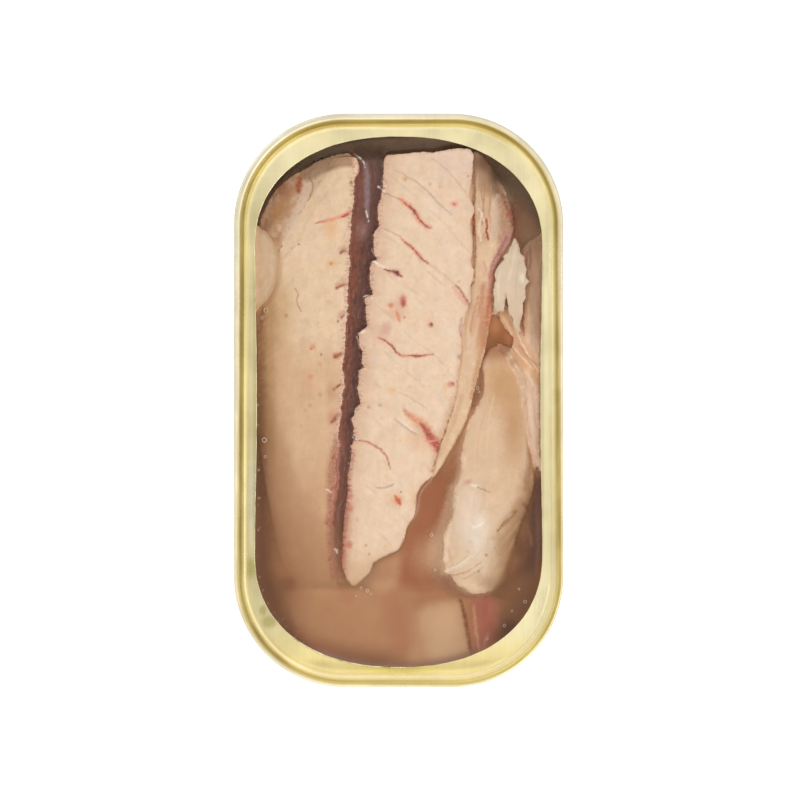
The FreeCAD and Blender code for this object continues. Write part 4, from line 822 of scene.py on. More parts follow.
t.add(stroke([(18.73, -29.18,0.3), (20.01, -27.35,0.4), (21.11, -25.52,0.3)], 1.0), (184, 144, 106), 0.6)
t.add(stroke([(21.66, -20.95,0.3), (23.31, -23.33,0.35), (24.41, -25.70,0.3), (24.77, -28.45,0.2)], 0.95), (176, 128, 104), 0.75)
t.add(stroke([(22.39, -21.68,0.2), (23.86, -24.42,0.25), (24.95, -27.72,0.2)], 0.95), (152, 98, 78), 0.6)
t.add(stroke([(22.94, -18.94,0.5), (24.41, -21.13,0.7), (25.32, -24.42,0.5)], 1.0), (128, 78, 66), 0.75)
t.add(blob(16.72, -33.57, 3.2, 2.6, -20, 1.0), (172, 132, 98), 0.7)
t.add(blob(14.53, -32.47, 2.2, 1.8, 0, 1.0), (196, 160, 128), 0.5)
t.add(blob(16.17, -27.72, 1.8, 3.0, 0, 1.0), (204, 176, 146), 0.5)
t.add(stroke([(11.96, -10.52,0.7), (11.78, -13.08,0.8), (11.23, -15.28,0.6)], 1.0), (236, 204, 172), 0.6)
t.add(stroke([(10.68, -17.65,0.5), (10.32, -20.95,0.7), (9.40, -23.33,0.7), (8.85, -26.44,0.6), (8.85, -29.18,0.5)], 1.0), (236, 206, 176), 0.7)
t.add(1 - smooth(-1.2, 0.3, fields["thick_chunk"]), (206, 164, 130), 0.45)
# painted light on its sloping edge, against the shade there
t.scale(1 + 0.35 * (1 - smooth(-0.2, 0.6, fields["thick_chunk"])))
tones["thick_chunk"] = t
# flesh at the upper left
t = mottled((186, 142, 106), 850, 0.8)
t.add(smooth(0.0, 0.6, fbm(X, Y, 1.6, 861, 3)), (166, 118, 84), 0.45)
t.add(patch([(-16.94, 40.71), (-14.75, 42.90), (-11.82, 44.00), (-11.45, 41.80), (-13.28, 39.24), (-15.48, 36.68), (-17.31, 34.12), (-18.40, 34.85), (-17.67, 37.78)], 0.6), (214, 176, 144), 0.85)
t.add(blob(-22.06, 34.67, 2.4, 4.0, -30), (170, 122, 74), 0.8)
t.add(blob(-21.15, 38.51, 2.6, 2.4, -30), (160, 104, 72), 0.8)
t.add(blob(-23.89, 31.92, 1.2, 2.0, -30), (150, 106, 76), 0.7)
t.add(stroke([(-15.66, 41.80,1.0), (-16.76, 38.88,1.3), (-18.04, 35.58,1.3), (-19.50, 32.66,1.3), (-20.97, 29.91,1.0)], 1.0), (216, 184, 156), 0.95)
t.add(stroke([(-16.21, 39.97,0.4), (-17.49, 37.05,0.45), (-18.95, 34.12,0.45), (-20.42, 31.56,0.3)], 1.0), (206, 180, 160), 0.7)
t.add(stroke([(-17.49, 39.61,0.2), (-18.77, 36.68,0.25), (-20.23, 33.75,0.22), (-21.33, 31.38,0.16)], 1.0), (186, 150, 122), 0.5)
t.add(stroke([(-18.04, 40.71,0.8), (-18.22, 39.52,1.1), (-18.40, 38.33,0.8)], 0.95), (158, 80, 48), 0.9)
t.add(stroke([(-14.75, 42.17,1.2), (-14.01, 40.34,1.1), (-15.48, 38.14,0.7)], 0.95), (208, 178, 142), 0.85)
t.add(stroke([(-12.37, 42.90,1.0), (-13.10, 41.07,0.8), (-14.38, 39.61,0.4)], 0.95), (168, 124, 90), 0.8)
t.add(stroke([(-15.66, 42.54,0.3), (-16.39, 41.07,0.4), (-15.66, 39.24,0.3), (-16.21, 37.41,0.25)], 0.9), (134, 98, 72), 0.6)
t.add(smooth(42.17, 44.37, Y) * smooth(-14.01, -12.18, X), (160, 124, 98), 0.85)
for pts in ([(-18.59, 41.80,0.2), (-17.49, 42.54,0.3), (-16.39, 43.08,0.2)], [(-16.94, 42.90,0.2), (-15.66, 43.82,0.3), (-14.38, 44.18,0.2)],
            [(-20.23, 40.16,0.2), (-19.32, 41.07,0.3), (-18.22, 41.44,0.2)], [(-15.11, 44.00,0.2), (-14.01, 44.55,0.25), (-12.73, 44.73,0.2)]):
    t.add(stroke(pts, 0.95), (198, 168, 134), 0.75)
# two pale lines along the top: painted highlights of a wet film
t.add(stroke([(-12.00, 44.00,0.2), (-10.17, 44.29,0.25), (-8.34, 44.37,0.2)], 0.8), (214, 186, 160), 0.9)
t.add(stroke([(-8.16, 45.10,0.2), (-7.06, 44.42,0.3), (-6.33, 43.45,0.3), (-6.09, 42.72,0.2)], 0.8), (226, 214, 204), 0.95)
# darker towards the opening's edge: painted shade under the panel
t.add((1 - smooth(0.0, 1.2, EDGE)) * smooth(44.00, 38.51, Y) * 0 + (1 - smooth(0.2, 2.2, EDGE + 0.6 * fbm(X, Y, 1.4, 866, 3))), (118, 84, 58), 0.7)
# painted shade over the top left, under the panel's far edge, on this piece and on the left loin
shade = patch([(-18.04, 41.80), (-15.84, 44.00), (-12.55, 44.91), (-8.71, 44.73), (-8.34, 42.90), (-9.99, 42.72), (-12.00, 42.17), (-14.01, 41.44), (-15.84, 40.34), (-17.31, 40.34)], 0.5)
t.add(shade, (146, 110, 82), 0.75)
tones["upper_flesh"] = t
tones["loin_left"].add(shade, (158, 122, 92), 0.85)

t = mottled((206, 172, 136), 870, 0.5)
# darker round its edge: painted shade where it meets its neighbours
t.add(1 - smooth(0.1, 1.0, fields["side_sliver"]), (186, 146, 108), 0.7)
t.add(stroke([(-24.99, 29.73,0.8), (-24.44, 26.44,1.0), (-24.99, 22.78,0.8)], 1.0), (214, 182, 148), 0.6)
tones["side_sliver"] = t
# the loin's own edge beside it: a soft tan crease, painted shade where the sliver lies against it
sliver_crease_shade = 1 - smooth(0.0, 1.3, -fields["side_sliver"] + 0.3)
tones["loin_left"].add(sliver_crease_shade * smooth(31.56, 30.10, Y) * 0 + sliver_crease_shade, (190, 146, 104), 0.75)
t = mottled((214, 178, 142), 880, 0.7)
tones["sunk_block"] = t
t = mottled((160, 86, 72), 890, 0.6)
t.add(stroke([(14.07, -36.86,0.5), (14.16, -40.16,0.6), (14.25, -44.73,0.4)], 0.9), (200, 150, 112), 0.95)
tones["sunk_red"] = t

# white tags of membrane along the dark muscle, and glints on it painted as highlights, raised like the tags
TAGS_AND_GLINTS = [([(-8.16, 45.10,0.2), (-7.06, 44.42,0.32), (-6.33, 43.45,0.3), (-6.09, 42.72,0.2)], (232, 220, 210)),
        ([(-3.77, 39.15,0.2), (-3.22, 38.88,0.35), (-2.49, 38.14,0.25)], (250, 236, 222)),
        ([(-4.59, 25.34,0.25), (-3.77, 24.97,0.35), (-2.67, 24.30,0.25)], (246, 228, 206)),
        ([(-6.37, 18.94,0.25), (-5.60, 19.12,0.4), (-4.77, 18.75,0.25)], (246, 228, 210)),
        ([(-7.24, 12.07,0.25), (-6.51, 12.53,0.35), (-5.60, 12.90,0.2)], (244, 222, 198)),
        ([(-7.61, 11.62,0.2), (-7.24, 10.70,0.3), (-7.06, 9.60,0.2)], (236, 210, 186)),
        ([(-8.34, -6.68,0.25), (-7.89, -7.04,0.35), (-7.43, -7.23,0.2)], (248, 228, 214)),
        ([(-8.62, -8.32,0.25), (-8.34, -8.87,0.3), (-8.71, -9.42,0.2)], (240, 216, 200)),
        ([(-9.07, -11.43,0.2), (-8.71, -11.98,0.25), (-9.07, -12.71,0.2)], (232, 200, 180)),
        ([(-6.79, 5.95,0.2), (-6.24, 5.85,0.3), (-5.78, 5.58,0.2)], (240, 216, 196)),
        ([(-7.61, 2.29,0.2), (-7.06, 1.92,0.25), (-6.70, 1.19,0.2)], (236, 210, 190)),
        ([(-4.87, 27.53,0.2), (-4.32, 26.71,0.25), (-3.95, 26.07,0.2)], (240, 216, 196)),
        ([(-2.85, 40.16,0.2), (-2.67, 39.61,0.25), (-2.31, 39.06,0.2)], (244, 226, 206)),
        ([(-9.99, 15.09,0.2), (-9.53, 15.73,0.3), (-9.17, 15.83,0.2)], (240, 216, 206)),
        ([(-13.28, -16.19,0.2), (-12.73, -16.47,0.3), (-12.37, -16.92,0.2)], (236, 206, 186)),
        ([(-11.82, -27.17,0.3), (-11.36, -27.44,0.45), (-11.27, -27.90,0.25)], (244, 228, 216)),
        ([(-6.06, 34.67,0.22), (-5.78, 33.94,0.3), (-5.53, 32.84,0.22)], (240, 226, 220))]
tag_and_glint_mask = np.zeros(SHAPE)
for pts, rgb in TAGS_AND_GLINTS:
    m = stroke(pts, 0.8) * smooth(-0.6, 0.1, fbm(X, Y, 0.7, 980, 2))
    tag_and_glint_mask = np.maximum(tag_and_glint_mask, m)
    for nm in ("loin_right", "dark_muscle", "loin_left"):
        tones[nm].add(m, rgb, 0.95)
heights["dark_muscle"] += 0.25 * tag_and_glint_mask
heights["loin_right"] += 0.10 * tag_and_glint_mask
# fine dark shreds across its edges
shred = smooth(0.02, 0.30, fbm(X * 0.7, Y * 1.6, 0.60, 991, 3))
for nm, gap in (("loin_left", strip_l - X), ("loin_right", X - strip_r)):
    tones[nm].add(shred * (1 - smooth(0.1, 1.15, gap)), (146, 94, 74), 0.85)
edge_in = np.minimum(X - strip_l, strip_r - X)
tones["dark_muscle"].add((1 - shred) * (1 - smooth(0.0, 0.5, edge_in)), (176, 126, 104), 0.7)
# the loins' own edges along it: pink at the upper end, redder where it sinks
for nm, gap in (("loin_left", strip_l - X), ("loin_right", X - strip_r)):
    near_dark = 1 - smooth(0.0, 1.1, gap + 0.5 * fbm(X, Y, 0.9, 985, 2))
    tones[nm].add(near_dark * (1 - smooth(-3.57, -12.71, Y)), (218, 176, 152), 0.45)
    tones[nm].add(near_dark * smooth(-3.57, -13.63, Y) * (1 - smooth(-31.92, -34.67, Y)), (176, 102, 86),
                  0.75 if nm == "loin_left" else 0.6)
# painted light where a piece runs in under its neighbour, against the shade there
for nm in TUCKED:
    tones[nm].scale(1 + (0.35 if nm == "loin_left" else 0.08) * tuck[nm] * (1 - smooth(-0.1, 0.5, fields[nm])))
# ---------------------------------------------------------- juice over it
fish_top = np.full(SHAPE, FLOOR)
for name in heights:
    fish_top = np.maximum(fish_top, np.where(fields[name] + 3.0 * sinking[name] + 1.2 * tuck[name] > 0, heights[name], FLOOR))
depth = np.clip(LEVEL - fish_top, -3.0, 6.0)
wet = (depth > 0.0).astype(float)
wide = blur(np.clip(depth, 0, 5.0) * wet, 0.75) / np.maximum(blur(wet, 0.75), 1e-3)
cover = 0.97 * (1 - np.exp(-np.clip(wide, 0, 9) / 1.55)) * smooth(0.0, 0.35, depth)
spread = blur(wet, 0.3)
cover = np.where(wet > 0, cover, blur(cover * wet, 0.3) / np.maximum(spread, 1e-2))
early = 1.65 * smooth(9.77, 7.94, X)
cover = np.where(Y < -32.84, np.maximum(cover, 0.93 * smooth(0.0, 2.93, -33.94 + early - Y)), cover)

murk = Paint((176, 122, 86))
murk.add(patch([(-18.04, -34.67), (-9.81, -34.12), (-0.66, -31.92), (2.45, -36.50), (2.82, -47.48), (-12.55, -45.65), (-19.87, -40.16)], 2.2), (186, 136, 99), 0.95)
murk.add(patch([(-20.78, -14.54), (-11.64, -12.71), (-11.45, -25.52), (-11.09, -33.94), (-16.94, -34.30), (-19.87, -29.18), (-20.97, -21.86)], 2.0), (199, 150, 110), 0.85)
murk.add(patch([(-8.53, -34.67), (-1.21, -33.57), (0.99, -36.50), (-0.11, -39.79), (-6.70, -39.06)], 2.0), (188, 138, 100), 0.7)
murk.add(patch([(-2.67, -36.13), (0.62, -35.03), (2.09, -39.79), (2.45, -45.28), (-0.11, -46.01), (-1.76, -41.99)], 2.2), (176, 119, 88), 0.65)
murk.add(patch([(-6.33, -33.02), (-4.50, -30.46), (-2.67, -29.36), (-0.11, -28.08), (1.90, -27.72), (2.09, -31.01), (-0.11, -33.39), (-3.40, -34.67)], 1.4), (204, 156, 118), 0.8)
murk.add(patch([(6.11, -14.54), (11.60, -9.42), (10.68, -16.37), (9.77, -21.86), (8.31, -26.44), (7.21, -32.84), (0.26, -33.75), (0.99, -26.44), (3.18, -20.95), (3.92, -17.29)], 1.6), (165, 104, 74), 0.98)
murk.add(blob(5.38, -28.45, 5.0, 5.6, 0, 1.0), (190, 142, 106), 0.9)
murk.add(blob(7.76, -27.72, 3.6, 6.4, 0, 1.0), (224, 182, 146), 0.95)
murk.add(stroke([(9.77, -16.01,1.2), (9.22, -19.12,1.5), (8.49, -22.23,1.7), (7.76, -25.52,1.8), (7.76, -29.18,1.8), (8.31, -31.38,1.2)], 1.0), (222, 174, 138), 0.8)
murk.add(stroke([(11.42, -11.62,0.7), (10.87, -14.54,1.0), (9.77, -17.84,1.2), (9.22, -21.50,1.2), (8.12, -24.42,1.2)], 1.0), (206, 158, 122), 0.75)
murk.add(blob(-2.49, -31.38, 3.6, 2.6, 20), (186, 134, 100), 0.7)
murk.add(blob(8.85, -33.57, 2.2, 2.2, 0, 1.0), (164, 112, 90), 0.8)
murk.add(stroke([(8.31, -32.29,0.7), (9.77, -33.94,1.1), (11.60, -35.22,1.2), (13.61, -35.95,0.9)], 1.0), (160, 108, 84), 0.75)
murk.add(blob(-9.44, -36.13, 2.2, 1.6, 0), (184, 126, 96), 0.7)
murk.add(blob(-20.42, -33.75, 2.2, 2.0, 0), (150, 100, 74), 0.8)
# darker towards the left wall at the near end: painted shade under the panel's edge
murk.add(smooth(-14.75, -23.89, X) * smooth(-29.18, -34.67, Y), (128, 88, 62), 0.75)
murk.add((1 - smooth(0.4, 5.2, EDGE)) * smooth(-36.50, -45.65, Y) * (1 - smooth(-3.40, 3.92, X)), (142, 96, 70), 0.85)
# what lies sunk at the lower right, soft through the juice
murk.add(patch([(3.55, -38.69), (6.48, -37.23), (10.68, -36.86), (11.60, -38.69), (12.33, -42.35), (13.15, -46.01), (13.79, -51.13), (2.82, -51.13), (2.82, -43.82)], 1.5), (200, 157, 119), 0.95)
murk.add((1 - smooth(0.0, 2.2, X - 3.55 + 0.35 * (Y - -43.82))) * smooth(-35.77, -37.60, Y) * smooth(0.99, 2.45, X), (184, 134, 100), 0.5)
murk.add(patch([(6.11, -39.43), (9.77, -38.33), (10.87, -41.99), (11.96, -48.21), (6.84, -49.67)], 2.0), (210, 170, 132), 0.75)
murk.add(stroke([(11.23, -36.50,0.5), (11.96, -38.69,0.65), (12.61, -42.35,0.75), (13.43, -46.56,0.6), (14.16, -49.67,0.5)], 1.0), (122, 74, 52), 0.88)
murk.add(patch([(13.06, -37.05), (14.53, -35.95), (16.72, -35.40), (18.19, -37.23), (18.92, -39.79), (18.37, -42.72), (17.09, -45.65), (15.62, -48.21), (14.53, -48.94), (13.79, -45.65), (13.25, -41.26)], 1.2), (170, 106, 84), 0.92)
murk.add(stroke([(15.99, -36.32,0.7), (15.81, -39.06,1.0), (15.99, -42.72,0.8)], 1.0), (168, 94, 82), 0.6)
murk.add(blob(16.90, -41.26, 1.2, 3.0, 0, 1.0), (160, 92, 74), 0.6)
murk.add(stroke([(13.70, -37.60,0.35), (13.98, -40.16,0.5), (14.34, -43.45,0.5), (14.89, -46.56,0.4)], 1.0), (198, 146, 112), 0.9)
murk.add(stroke([(16.36, -42.72,0.5), (15.62, -44.91,0.6), (14.89, -47.11,0.4)], 0.95), (184, 130, 104), 0.8)
# the lower right corner dark: painted shade from the wall over what lies sunk there
murk.add(patch([(18.55, -34.30), (22.21, -29.18), (26.78, -25.52), (26.78, -43.82), (18.55, -48.94), (16.36, -48.94), (18.00, -43.82), (19.47, -39.24)], 1.9), (128, 88, 62), 0.96)
murk.add(patch([(20.01, -36.50), (26.78, -29.18), (26.78, -43.82), (20.01, -43.82)], 2.6), (116, 78, 56), 0.8)
# between the flap, the wall and the chunk
murk.add(blob(18.73, 10.70, 5.0, 4.6, 0), (168, 106, 68), 0.95)
murk.add(blob(17.64, 13.63, 1.6, 2.8, 0, 1.0), (200, 134, 90), 0.8)
murk.add(blob(20.38, 11.07, 1.3, 2.0, 30), (196, 132, 92), 0.7)
murk.add(blob(16.17, 10.15, 1.4, 3.0, 0, 1.0), (188, 126, 84), 0.8)
murk.add(stroke([(17.45, 8.87,0.4), (19.10, 9.42,0.5), (20.56, 8.69,0.4)], 1.0), (140, 84, 56), 0.6)
murk.add(stroke([(15.08, 2.84,0.7), (13.79, -1.37,0.8), (12.33, -5.76,1.0), (11.23, -9.97,1.4)], 1.0), (162, 108, 76), 0.9)
# the far end and its corners are dark: painted shade under the panel's far edge
far_end_shade = smooth(27.53, 34.49, Y)
murk.add(far_end_shade, (122, 88, 66), 0.95)
murk.add(smooth(33.94, 40.34, Y), (104, 80, 62), 0.98)
murk.add((1 - smooth(0.2, 3.4, EDGE)) * smooth(18.39, 36.68, Y), (104, 82, 62), 0.9)
murk.add(smooth(41.80, 45.83, Y) * smooth(-6.15, -2.49, X) * smooth(11.23, 5.74, X), (116, 90, 72), 0.8)
murk.add(blob(5.74, 46.01, 5.5, 0.9, 0, 1.0), (128, 104, 84), 0.7)
murk.add(smooth(0.9, 0.1, EDGE) * smooth(42.17, 45.83, Y) * smooth(4.83, -1.57, X), (66, 50, 38), 0.75)
murk.add(smooth(1.3, 0.2, EDGE) * smooth(33.94, 41.26, Y) * smooth(-10.72, -16.21, X), (66, 50, 34), 0.85)
murk.add(smooth(41.07, 44.37, Y) * smooth(-8.89, -12.55, X), (92, 74, 54), 0.8)
murk.add(smooth(0.0, 0.6, fbm(X, Y, 1.3, 997, 3)) * smooth(25.70, 36.68, Y), (84, 64, 50), 0.35)
murk.add(patch([(20.01, 35.95), (22.21, 35.22), (22.76, 31.92), (21.48, 30.10), (20.20, 31.56)], 1.2), (150, 92, 66), 0.7)
murk.add(patch([(22.21, 34.12), (26.78, 30.83), (26.78, 23.87), (23.31, 25.34), (22.21, 29.36)], 1.4), (138, 102, 76), 0.85)
murk.add(patch([(22.94, 30.10), (26.78, 29.73), (26.78, 18.39), (22.94, 18.39)], 1.4), (168, 128, 98), 0.85)
murk.add(patch([(22.21, 23.87), (23.67, 25.34), (24.41, 12.90), (22.21, 12.90)], 0.8), (196, 152, 118), 0.8)
# the wall's shade down both sides
left_w = np.interp(gy, [-43.82, -36.50, -29.18, -18.20, -5.40, 12.90], [1.0, 3.6, 4.6, 3.2, 1.6, 0.9])[:, None]
murk.add((1 - smooth(0.3 * left_w, 1.15 * left_w + 0.5, EDGE + 0.4 * fbm(X, Y, 1.2, 990, 3))) * smooth(-12.55, -19.87, X) * smooth(14.73, 3.75, Y), (116, 78, 56), 0.95)
right_w = np.interp(gy, [-45.65, -36.50, -25.52, -14.54, -10.89], [2.6, 5.0, 4.6, 1.8, 1.0])[:, None]
murk.add((1 - smooth(0.3 * right_w, 1.1 * right_w + 0.5, EDGE)) * smooth(14.89, 21.30, X) * smooth(-7.23, -14.54, Y), (104, 72, 56), 0.95)
murk.add(stroke([(25.14, -12.71,0.9), (25.32, -17.29,1.0), (25.50, -23.69,0.9), (25.50, -27.35,0.7), (25.14, -31.92,0.4)], 1.0), (134, 96, 80), 0.8)
murk.add(stroke([(22.94, -21.86,0.5), (23.86, -24.06,0.6), (24.41, -26.44,0.4)], 1.0), (160, 108, 82), 0.55)
murk.add(blob(22.21, -26.98, 2.2, 3.2, 0, 1.0), (112, 74, 54), 0.6)
murk.add(patch([(17.45, -34.30), (20.01, -32.47), (24.41, -31.38), (26.78, -29.18), (26.78, -40.16), (22.21, -41.07), (18.19, -38.33)], 1.6), (142, 98, 68), 0.75)
# along the near edge: a paler band, painted light against the panel's shadow, and a grey-mauve painted reflection line
# at the wall
murk.add((1 - smooth(0.3, 1.8, EDGE)) * smooth(-43.82, -46.56, Y), (152, 114, 96), 0.7)
murk.add((1 - smooth(0.05, 0.7, EDGE)) * smooth(-45.65, -47.11, Y), (158, 128, 112), 0.75)
wall_speck = smooth(0.30, 0.55, fbm(X, Y, 0.42, 1001, 2)) * (1 - smooth(0.7, 1.5, EDGE))
# a dark line at the left wall: painted shade
wall_shade_line = (1 - smooth(0.1, 0.55, EDGE)) * smooth(18.39, 12.90, Y) * smooth(-18.04, -21.70, X)
for q in (murk, tones["loin_left"], tones["side_sliver"], tones["upper_flesh"]):
    q.add(wall_shade_line, (112, 84, 60), 0.8)
    q.add(wall_speck * smooth(-12.55, -19.87, X) * smooth(18.39, 11.07, Y), (176, 146, 118), 0.55)
murk.add(wall_speck * smooth(18.55, 22.21, X) * smooth(18.39, 40.34, Y), (150, 126, 100), 0.5)
tones["wall_strip"].add(wall_speck, (196, 170, 146), 0.4)
tones["upper_flesh"].add(smooth(0.20, 0.5, fbm(XM, YM, 0.55, 1011, 2)), (146, 104, 74), 0.30)
murk.scale(1 + 0.05 * fbm(X, Y, 3.0, 995, 3))
# foam and bubbles
BUBBLES = [(-24.30, 16.50, 0.45), (-24.99, 15.09, 0.3), (-24.57, -7.23, 0.48), (-24.39, -10.28, 0.28), (-25.63, -12.71, 0.22),
           (9.88, -1.28, 0.42), (14.45, 2.29, 0.32), (13.98, 3.02, 0.22), (14.71, 1.56, 0.22), (6.06, -24.64, 0.3),
           (6.66, -31.01, 0.26), (23.16, -36.81, 0.34), (19.39, -41.18, 0.3), (16.23, -43.63, 0.24), (-5.69, -34.78, 0.34),
           (-6.88, -34.30, 0.26), (-5.05, -35.40, 0.24), (-7.79, -35.77, 0.2), (20.75, -38.51, 0.2), (22.03, -34.49, 0.22),
           (-25.72, -0.82, 0.22), (-25.81, -4.48, 0.2), (-25.54, -17.84, 0.24), (-25.72, -23.69, 0.2), (-22.06, 37.41, 0.22), (-23.53, 35.58, 0.18)]
# ------------------------------------------------------------------ meshes
def mesh_object(name, verts, faces, body="root"):
    me = bpy.data.meshes.new(name)
    me.from_pydata(verts, [], faces)
    me.validate()
    ob = bpy.data.objects.new(name, me)
    bpy.context.scene.collection.objects.link(ob)
    for p in me.polygons:
        p.use_smooth = True
    return ob


def inside_base(xy, inset=4.4):
    """Plan points drawn in to the flat base, which is narrower than the wall."""
    r = 20.3 - inset
    core = np.array([HALF_X - 20.3, HALF_Y - 20.3])
    q = np.abs(xy) - core
    over = np.maximum(q, 0)
    far = np.maximum(np.hypot(over[:, 0], over[:, 1]) / r, 1.0)[:, None]
    return np.sign(xy) * np.where(q > 0, core + over / far, np.abs(xy))


def grid_solid(name, mask, height, low, shrink, colour=None, extra=None, every=1, field=None):
    """A closed solid whose top is a height field over the grid's masked cells and
    whose foot is its own outline, drawn in a little."""
    if every > 1:
        sub = (slice(None, None, every), slice(None, None, every))
        mask, height = mask[sub], height[sub]
        xx, yy = X[sub], Y[sub]
        colour = None if colour is None else colour[sub]
        extra = {k: v[sub] for k, v in (extra or {}).items()}
    else:
        xx, yy = X, Y
        extra = extra or {}
    cell = mask[:-1, :-1] & mask[1:, :-1] & mask[:-1, 1:] & mask[1:, 1:]
    # keep the largest connected patch of cells, with its holes filled
    cell = largest(cell)
    ny, nx = mask.shape
    used = np.zeros((ny, nx), bool)
    for a, b in ((0, 0), (1, 0), (0, 1), (1, 1)):
        used[a:ny - 1 + a, b:nx - 1 + b] |= cell
    idx = -np.ones((ny, nx), int)
    n = int(used.sum())
    idx[used] = np.arange(n)
    co = np.stack([xx[used], yy[used], height[used]], 1)
    j, i = np.nonzero(cell)
    quads = np.stack([idx[j, i], idx[j, i + 1], idx[j + 1, i + 1], idx[j + 1, i]], 1)
    # outline edges, in order
    pad = np.pad(cell, 1)
    nxt = {}
    for dj, di, a, b in ((-1, 0, (0, 0), (0, 1)), (0, 1, (0, 1), (1, 1)), (1, 0, (1, 1), (1, 0)), (0, -1, (1, 0), (0, 0))):
        free = cell & ~pad[1 + dj:1 + dj + cell.shape[0], 1 + di:1 + di + cell.shape[1]]
        jj, ii = np.nonzero(free)
        for s, e in zip(idx[jj + a[0], ii + a[1]], idx[jj + b[0], ii + b[1]]):
            nxt.setdefault(int(s), []).append(int(e))
    loops = []
    while nxt:
        start = next(iter(nxt))
        loop = [start]
        cur = nxt[start].pop()
        if not nxt[start]:
            del nxt[start]
        while cur != start:
            loop.append(cur)
            e = nxt[cur].pop()
            if not nxt[cur]:
                del nxt[cur]
            cur = e
        loops.append(loop)
    loop = max(loops, key=len)
    if field is not None:
        # slide the outline's points on to the true outline
        gyy, gxx = np.gradient(field, STEP)
        f, fx, fy = field[used][loop], gxx[used][loop], gyy[used][loop]
        g2 = np.maximum(fx * fx + fy * fy, 0.2)
        shift = np.clip(f, 0, 1.6 * STEP) / g2
        mx_, my_ = -fx * shift, -fy * shift
        far_ = np.maximum(np.hypot(mx_, my_) / (0.95 * STEP), 1.0)
        co[loop, 0] += mx_ / far_
        co[loop, 1] += my_ / far_
    ring = co[loop]
    mid = np.array([(ring[:, 0].min() + ring[:, 0].max()) / 2, (ring[:, 1].min() + ring[:, 1].max()) / 2])
    foot = ring.copy()
    foot[:, :2] = mid + (ring[:, :2] - mid) * shrink
    foot[:, :2] += 0.97 * (inside_base(foot[:, :2]) - foot[:, :2])
    foot[:, 2] = low
    m = len(loop)
    verts = np.vstack([co, foot]) * MM
    faces = quads.tolist()
    for k in range(m):
        a, b = loop[k], loop[(k + 1) % m]
        faces.append([b, a, n + k, n + (k + 1) % m])
    faces.append([n + k for k in range(m)][::-1])
    ob = mesh_object(name, verts.tolist(), faces)
    me = ob.data
    if field is not None:
        rim = set(loop)
        ev = np.zeros(len(me.edges) * 2, int)
        me.edges.foreach_get("vertices", ev)
        ev = ev.reshape(-1, 2)
        on = np.isin(ev, np.array(loop)).all(1)
        pairs = {(min(a, b), max(a, b)) for a, b in zip(loop, loop[1:] + loop[:1])}
        flags = [bool(o) and (min(a, b), max(a, b)) in pairs for o, (a, b) in zip(on, ev.tolist())]
        me.edges.foreach_set("use_edge_sharp", flags) if False else [setattr(me.edges[k], "use_edge_sharp", True) for k, v in enumerate(flags) if v]
    if colour is not None:
        c = np.ones((n + m, 4), np.float32)
        c[:n, :3] = colour[used]
        c[n:, :3] = colour[used][loop]
        at = me.attributes.new("tone", "FLOAT_COLOR", "POINT")
        at.data.foreach_set("color", c.ravel())
    for key, field in extra.items():
        v = np.zeros(n + m, np.float32)
        v[:n] = field[used]
        v[n:] = field[used][loop] if key != "cover" else 1.0
        at = me.attributes.new(key, "FLOAT", "POINT")
        at.data.foreach_set("value", v)
    return ob


def largest(cell):
    """The biggest 4-connected patch of cells, holes filled."""
    def flood(free, seeds):
        seen = seeds & free
        while True:
            grow = seen.copy()
            grow[1:] |= seen[:-1]
            grow[:-1] |= seen[1:]
            grow[:, 1:] |= seen[:, :-1]
            grow[:, :-1] |= seen[:, 1:]
            grow &= free
            if (grow == seen).all():
                return seen
            seen = grow

    def fast_flood(free, seed):
        # row and column sweeps spread much further per pass than single steps
        seen = seed & free
        while True:
            before = seen.sum()
            for axis in (0, 1):
                for flip in (False, True):
                    f = np.flip(free, axis) if flip else free
                    s = np.flip(seen, axis) if flip else seen
                    s = s.copy()
                    f2 = f if axis == 0 else f.T
                    s2 = s if axis == 0 else s.T
                    for r in range(1, f2.shape[0]):
                        s2[r] |= s2[r - 1] & f2[r]
                    s = s2 if axis == 0 else s2.T
                    seen = np.flip(s, axis) if flip else s
            if seen.sum() == before:
                return seen

    left = cell.copy()
    best = None
    for _ in range(6):
        if not left.any():
            break
        js, is_ = np.nonzero(left)
        k = len(js) // 2
        seed = np.zeros_like(left)
        seed[js[k], is_[k]] = True
        patch = fast_flood(left, seed)
        if best is None or patch.sum() > best.sum():
            best = patch
        left = left & ~patch
        if best.sum() >= left.sum():
            break
    outer = np.pad(~best, 1, constant_values=True)
    seed = np.zeros_like(outer)
    seed[0, 0] = True
    outside = fast_flood(outer, seed)[1:-1, 1:-1]
    return ~outside


# --------------------------------------------------------------- materials
def new_material(name):
    m = bpy.data.materials.new(name)
    m.use_nodes = True
    nt = m.node_tree
    bsdf = nt.nodes["Principled BSDF"]
    return m, nt, bsdf


def node(nt, kind, **props):
    n = nt.nodes.new(kind)
    for k, v in props.items():
        setattr(n, k, v)
    return n


